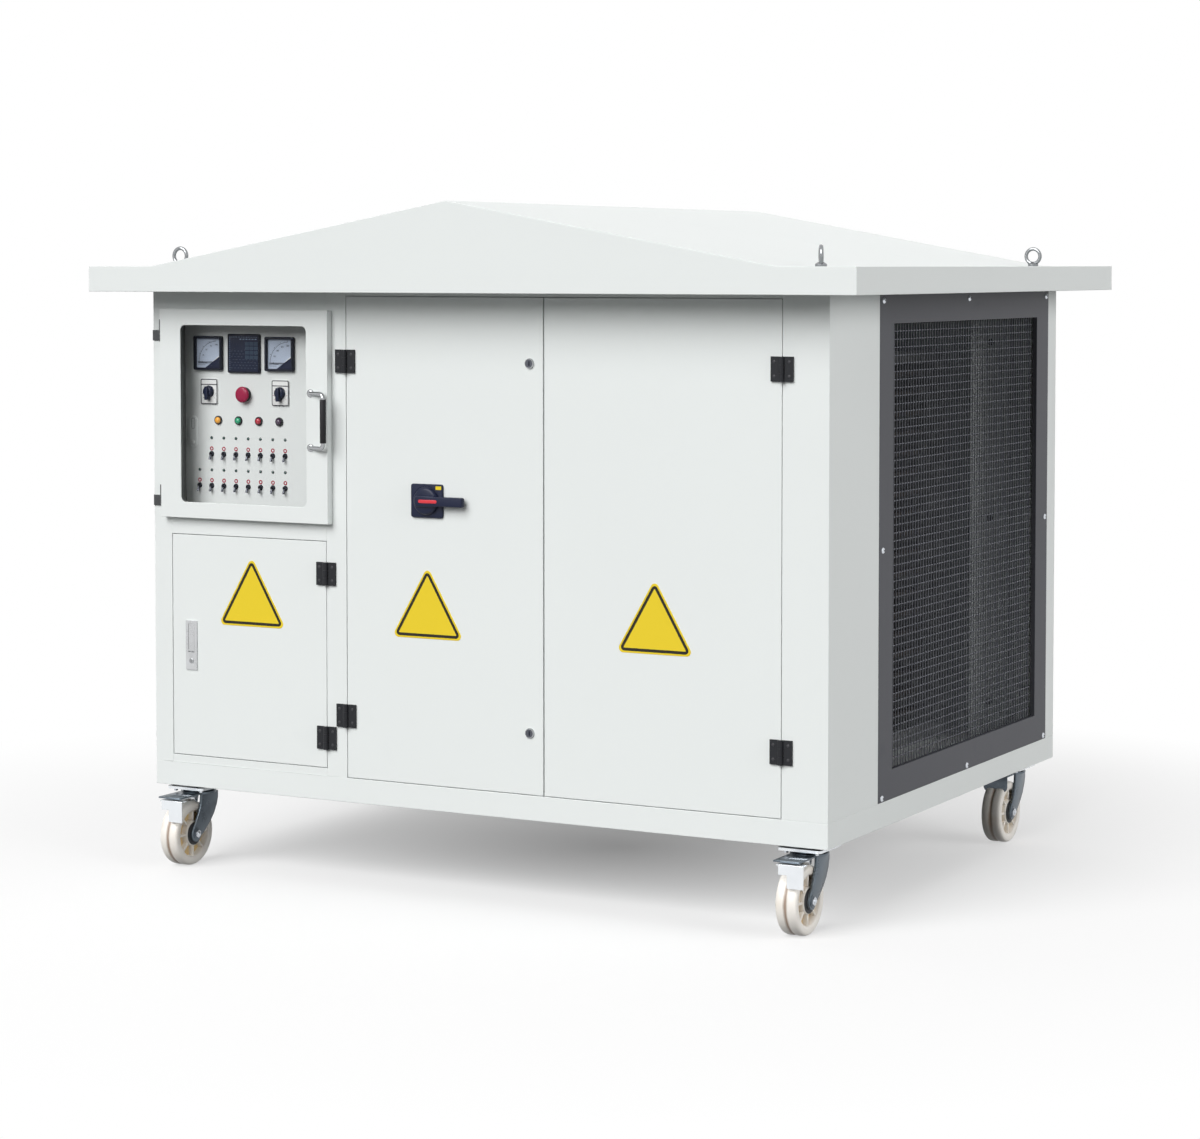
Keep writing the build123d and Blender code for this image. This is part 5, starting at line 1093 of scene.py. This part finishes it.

# Window pane, its rubber and the lining of the bay; the lining's dark grey is painted shade for the shadow inside
# the bay

window = {"corner": 0.022, "rubber": (0.389, 0.451, 0.031), "rubberWide": 0.017, "rubberDeep": 0.0030,
    "seal": (0.452, 0.472, 0.012), "sealWide": 0.008, "sealFace": -0.6925, "sealDeep": 0.0042}
lining = {"spot": (-0.6045, -0.6868, 1.0735), "size": (0.4205, 0.4465, 0.003), "sheet": 0.0015,
    "deep": 0.0425}
low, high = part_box("window_pane")
middle = Vector(((low[0] + high[0]) / 2, 0, (low[2] + high[2]) / 2))
mesh = bmesh.new()
addPrism(mesh, roundedOutline(high[0] - low[0], high[2] - low[2], window["corner"]),
    middle + Vector((0, low[1], 0)), toFront, high[1] - low[1], 0.0006, 1)
finishPiece("windowPane", mesh, "window_leaf", "clearPane", ["window_pane"])
mesh = bmesh.new()
addFrame(mesh, roundedOutline(*window["rubber"], 8), window["rubberWide"],
    middle + Vector((0, high[1] + 0.0002, 0)), toFront, window["rubberDeep"])
addFrame(mesh, roundedOutline(*window["seal"]), window["sealWide"],
    middle + Vector((0, window["sealFace"], 0)), toFront, window["sealDeep"])
finishPiece("windowRubber", mesh, "window_leaf", "rubberAndShadeGrey")
# a dark sheet round the inside of the window bay: painted shade standing for the shadow on the pale walls of the
# recess
mesh = bmesh.new()
addFrame(mesh, roundedOutline(*lining["size"]), lining["sheet"], lining["spot"], toFront, lining["deep"])
finishPiece("bayShadeLining", mesh, "cabinet", "rubberAndShadeGrey")

# Screws of the grilles and of the rear panel

panelScrew = {
    "button": [(0, 0.0034), (0.0026, 0.0033), (0.0050, 0.0026), (0.0066, 0.0012), (0.0070, 0.0), (0, 0)],
    "socket": 0.0024, "sunk": 0.0035, "grilleX": 0.873, "grilleY": (-0.400, 0.1035, 0.616),
    "grilleZ": (0.255, 0.800, 1.345), "rearX": (-0.846, -0.423, 0.0, 0.423, 0.846), "rearY": 0.688,
    "rearZ": (0.275, 0.620, 0.965, 1.330),
}


def addScrews(name, spots):
    # spots: where each screw sits and the way that it faces
    mesh, sockets = bmesh.new(), bmesh.new()
    for spot, axis in spots:
        addLathe(mesh, panelScrew["button"], spot, axis, 20)
        addPrism(sockets, circleOutline(panelScrew["socket"], 6),
            Vector(spot) + panelScrew["sunk"] * Vector(axis), axis, 0.0003)
    finishPiece(f"{name}Screws", mesh, "cabinet", "brightZinc")
    finishPiece(f"{name}ScrewSockets", sockets, "cabinet", "sealDark")


addScrews("grille", [((axis[0] * panelScrew["grilleX"], y, z), axis) for axis in (toRight, toLeft)
    for y in panelScrew["grilleY"] for z in panelScrew["grilleZ"]
    if (y, z) != (panelScrew["grilleY"][1], panelScrew["grilleZ"][1])])
addScrews("rear", [((x, panelScrew["rearY"], z), toRear) for x in panelScrew["rearX"]
    for z in panelScrew["rearZ"] if x in (panelScrew["rearX"][0], panelScrew["rearX"][-1])
    or z in (panelScrew["rearZ"][0], panelScrew["rearZ"][-1])])
print("window and screws")

# Fan, resistor strips and rack, switchgear and terminals

innerNodes = {
    "fan_motor": ("castGrey", 0.0012), "fan_impeller": ("castGrey", 0.0008), "fan_ring": ("galvanised", 0),
    "fan_plate": ("galvanised", 0), "resistor_elements": ("elementSteel", 0),
    "resistor_rack": ("galvanised", 0),
    "switchgear": ("moulding", 0.0012), "cable_terminals": ("copperBar", 0.0008),
}
for node, (finish, rounding) in innerNodes.items():
    dressed(node, finish, rounding)

# Pale sheet across the rear corner of the outlet with its screws, and the pale floor in front of it

baffle = {"start": (0.690, 0.584), "long": 0.104, "low": 0.2440, "high": 1.3300, "sheet": 0.002, "turn": 45.0,
    "screws": (0.330, 0.790, 1.230), "screw": [(0, 0.0040), (0.0050, 0.0036), (0.0085, 0.0010), (0.0085, 0),
    (0, 0)],
    "floorLow": (0.640, -0.400, 0.2425), "floorHigh": (0.850, 0.600, 0.2440)}
mesh, screws = bmesh.new(), bmesh.new()
turned = Matrix.Rotation(radians(baffle["turn"]), 3, "Z")
start = Vector((*baffle["start"], 0))
addBox(mesh, (0, 0, baffle["low"]), (baffle["long"], baffle["sheet"], baffle["high"]), 0.0006)
bmesh.ops.rotate(mesh, cent=(0, 0, 0), matrix=turned, verts=mesh.verts)
bmesh.ops.translate(mesh, vec=start, verts=mesh.verts)
for z in baffle["screws"]:
    addLathe(screws, baffle["screw"], start + turned @ Vector((baffle["long"] / 2, 0, z)),
    turned @ Vector(toFront), 20)
addBox(mesh, baffle["floorLow"], baffle["floorHigh"], 0.0004)
finishPiece("outletBaffle", mesh, "cabinet", "bodyPaint")
finishPiece("outletBaffleScrews", screws, "cabinet", "sealDark")

print("inside")

for node, item in frame["nodes"].items():
    item.data.materials.clear()
    item.data.materials.append(finishes["bodyPaint" if node == "partition" else "galvanised"])
print("frame nodes finished")
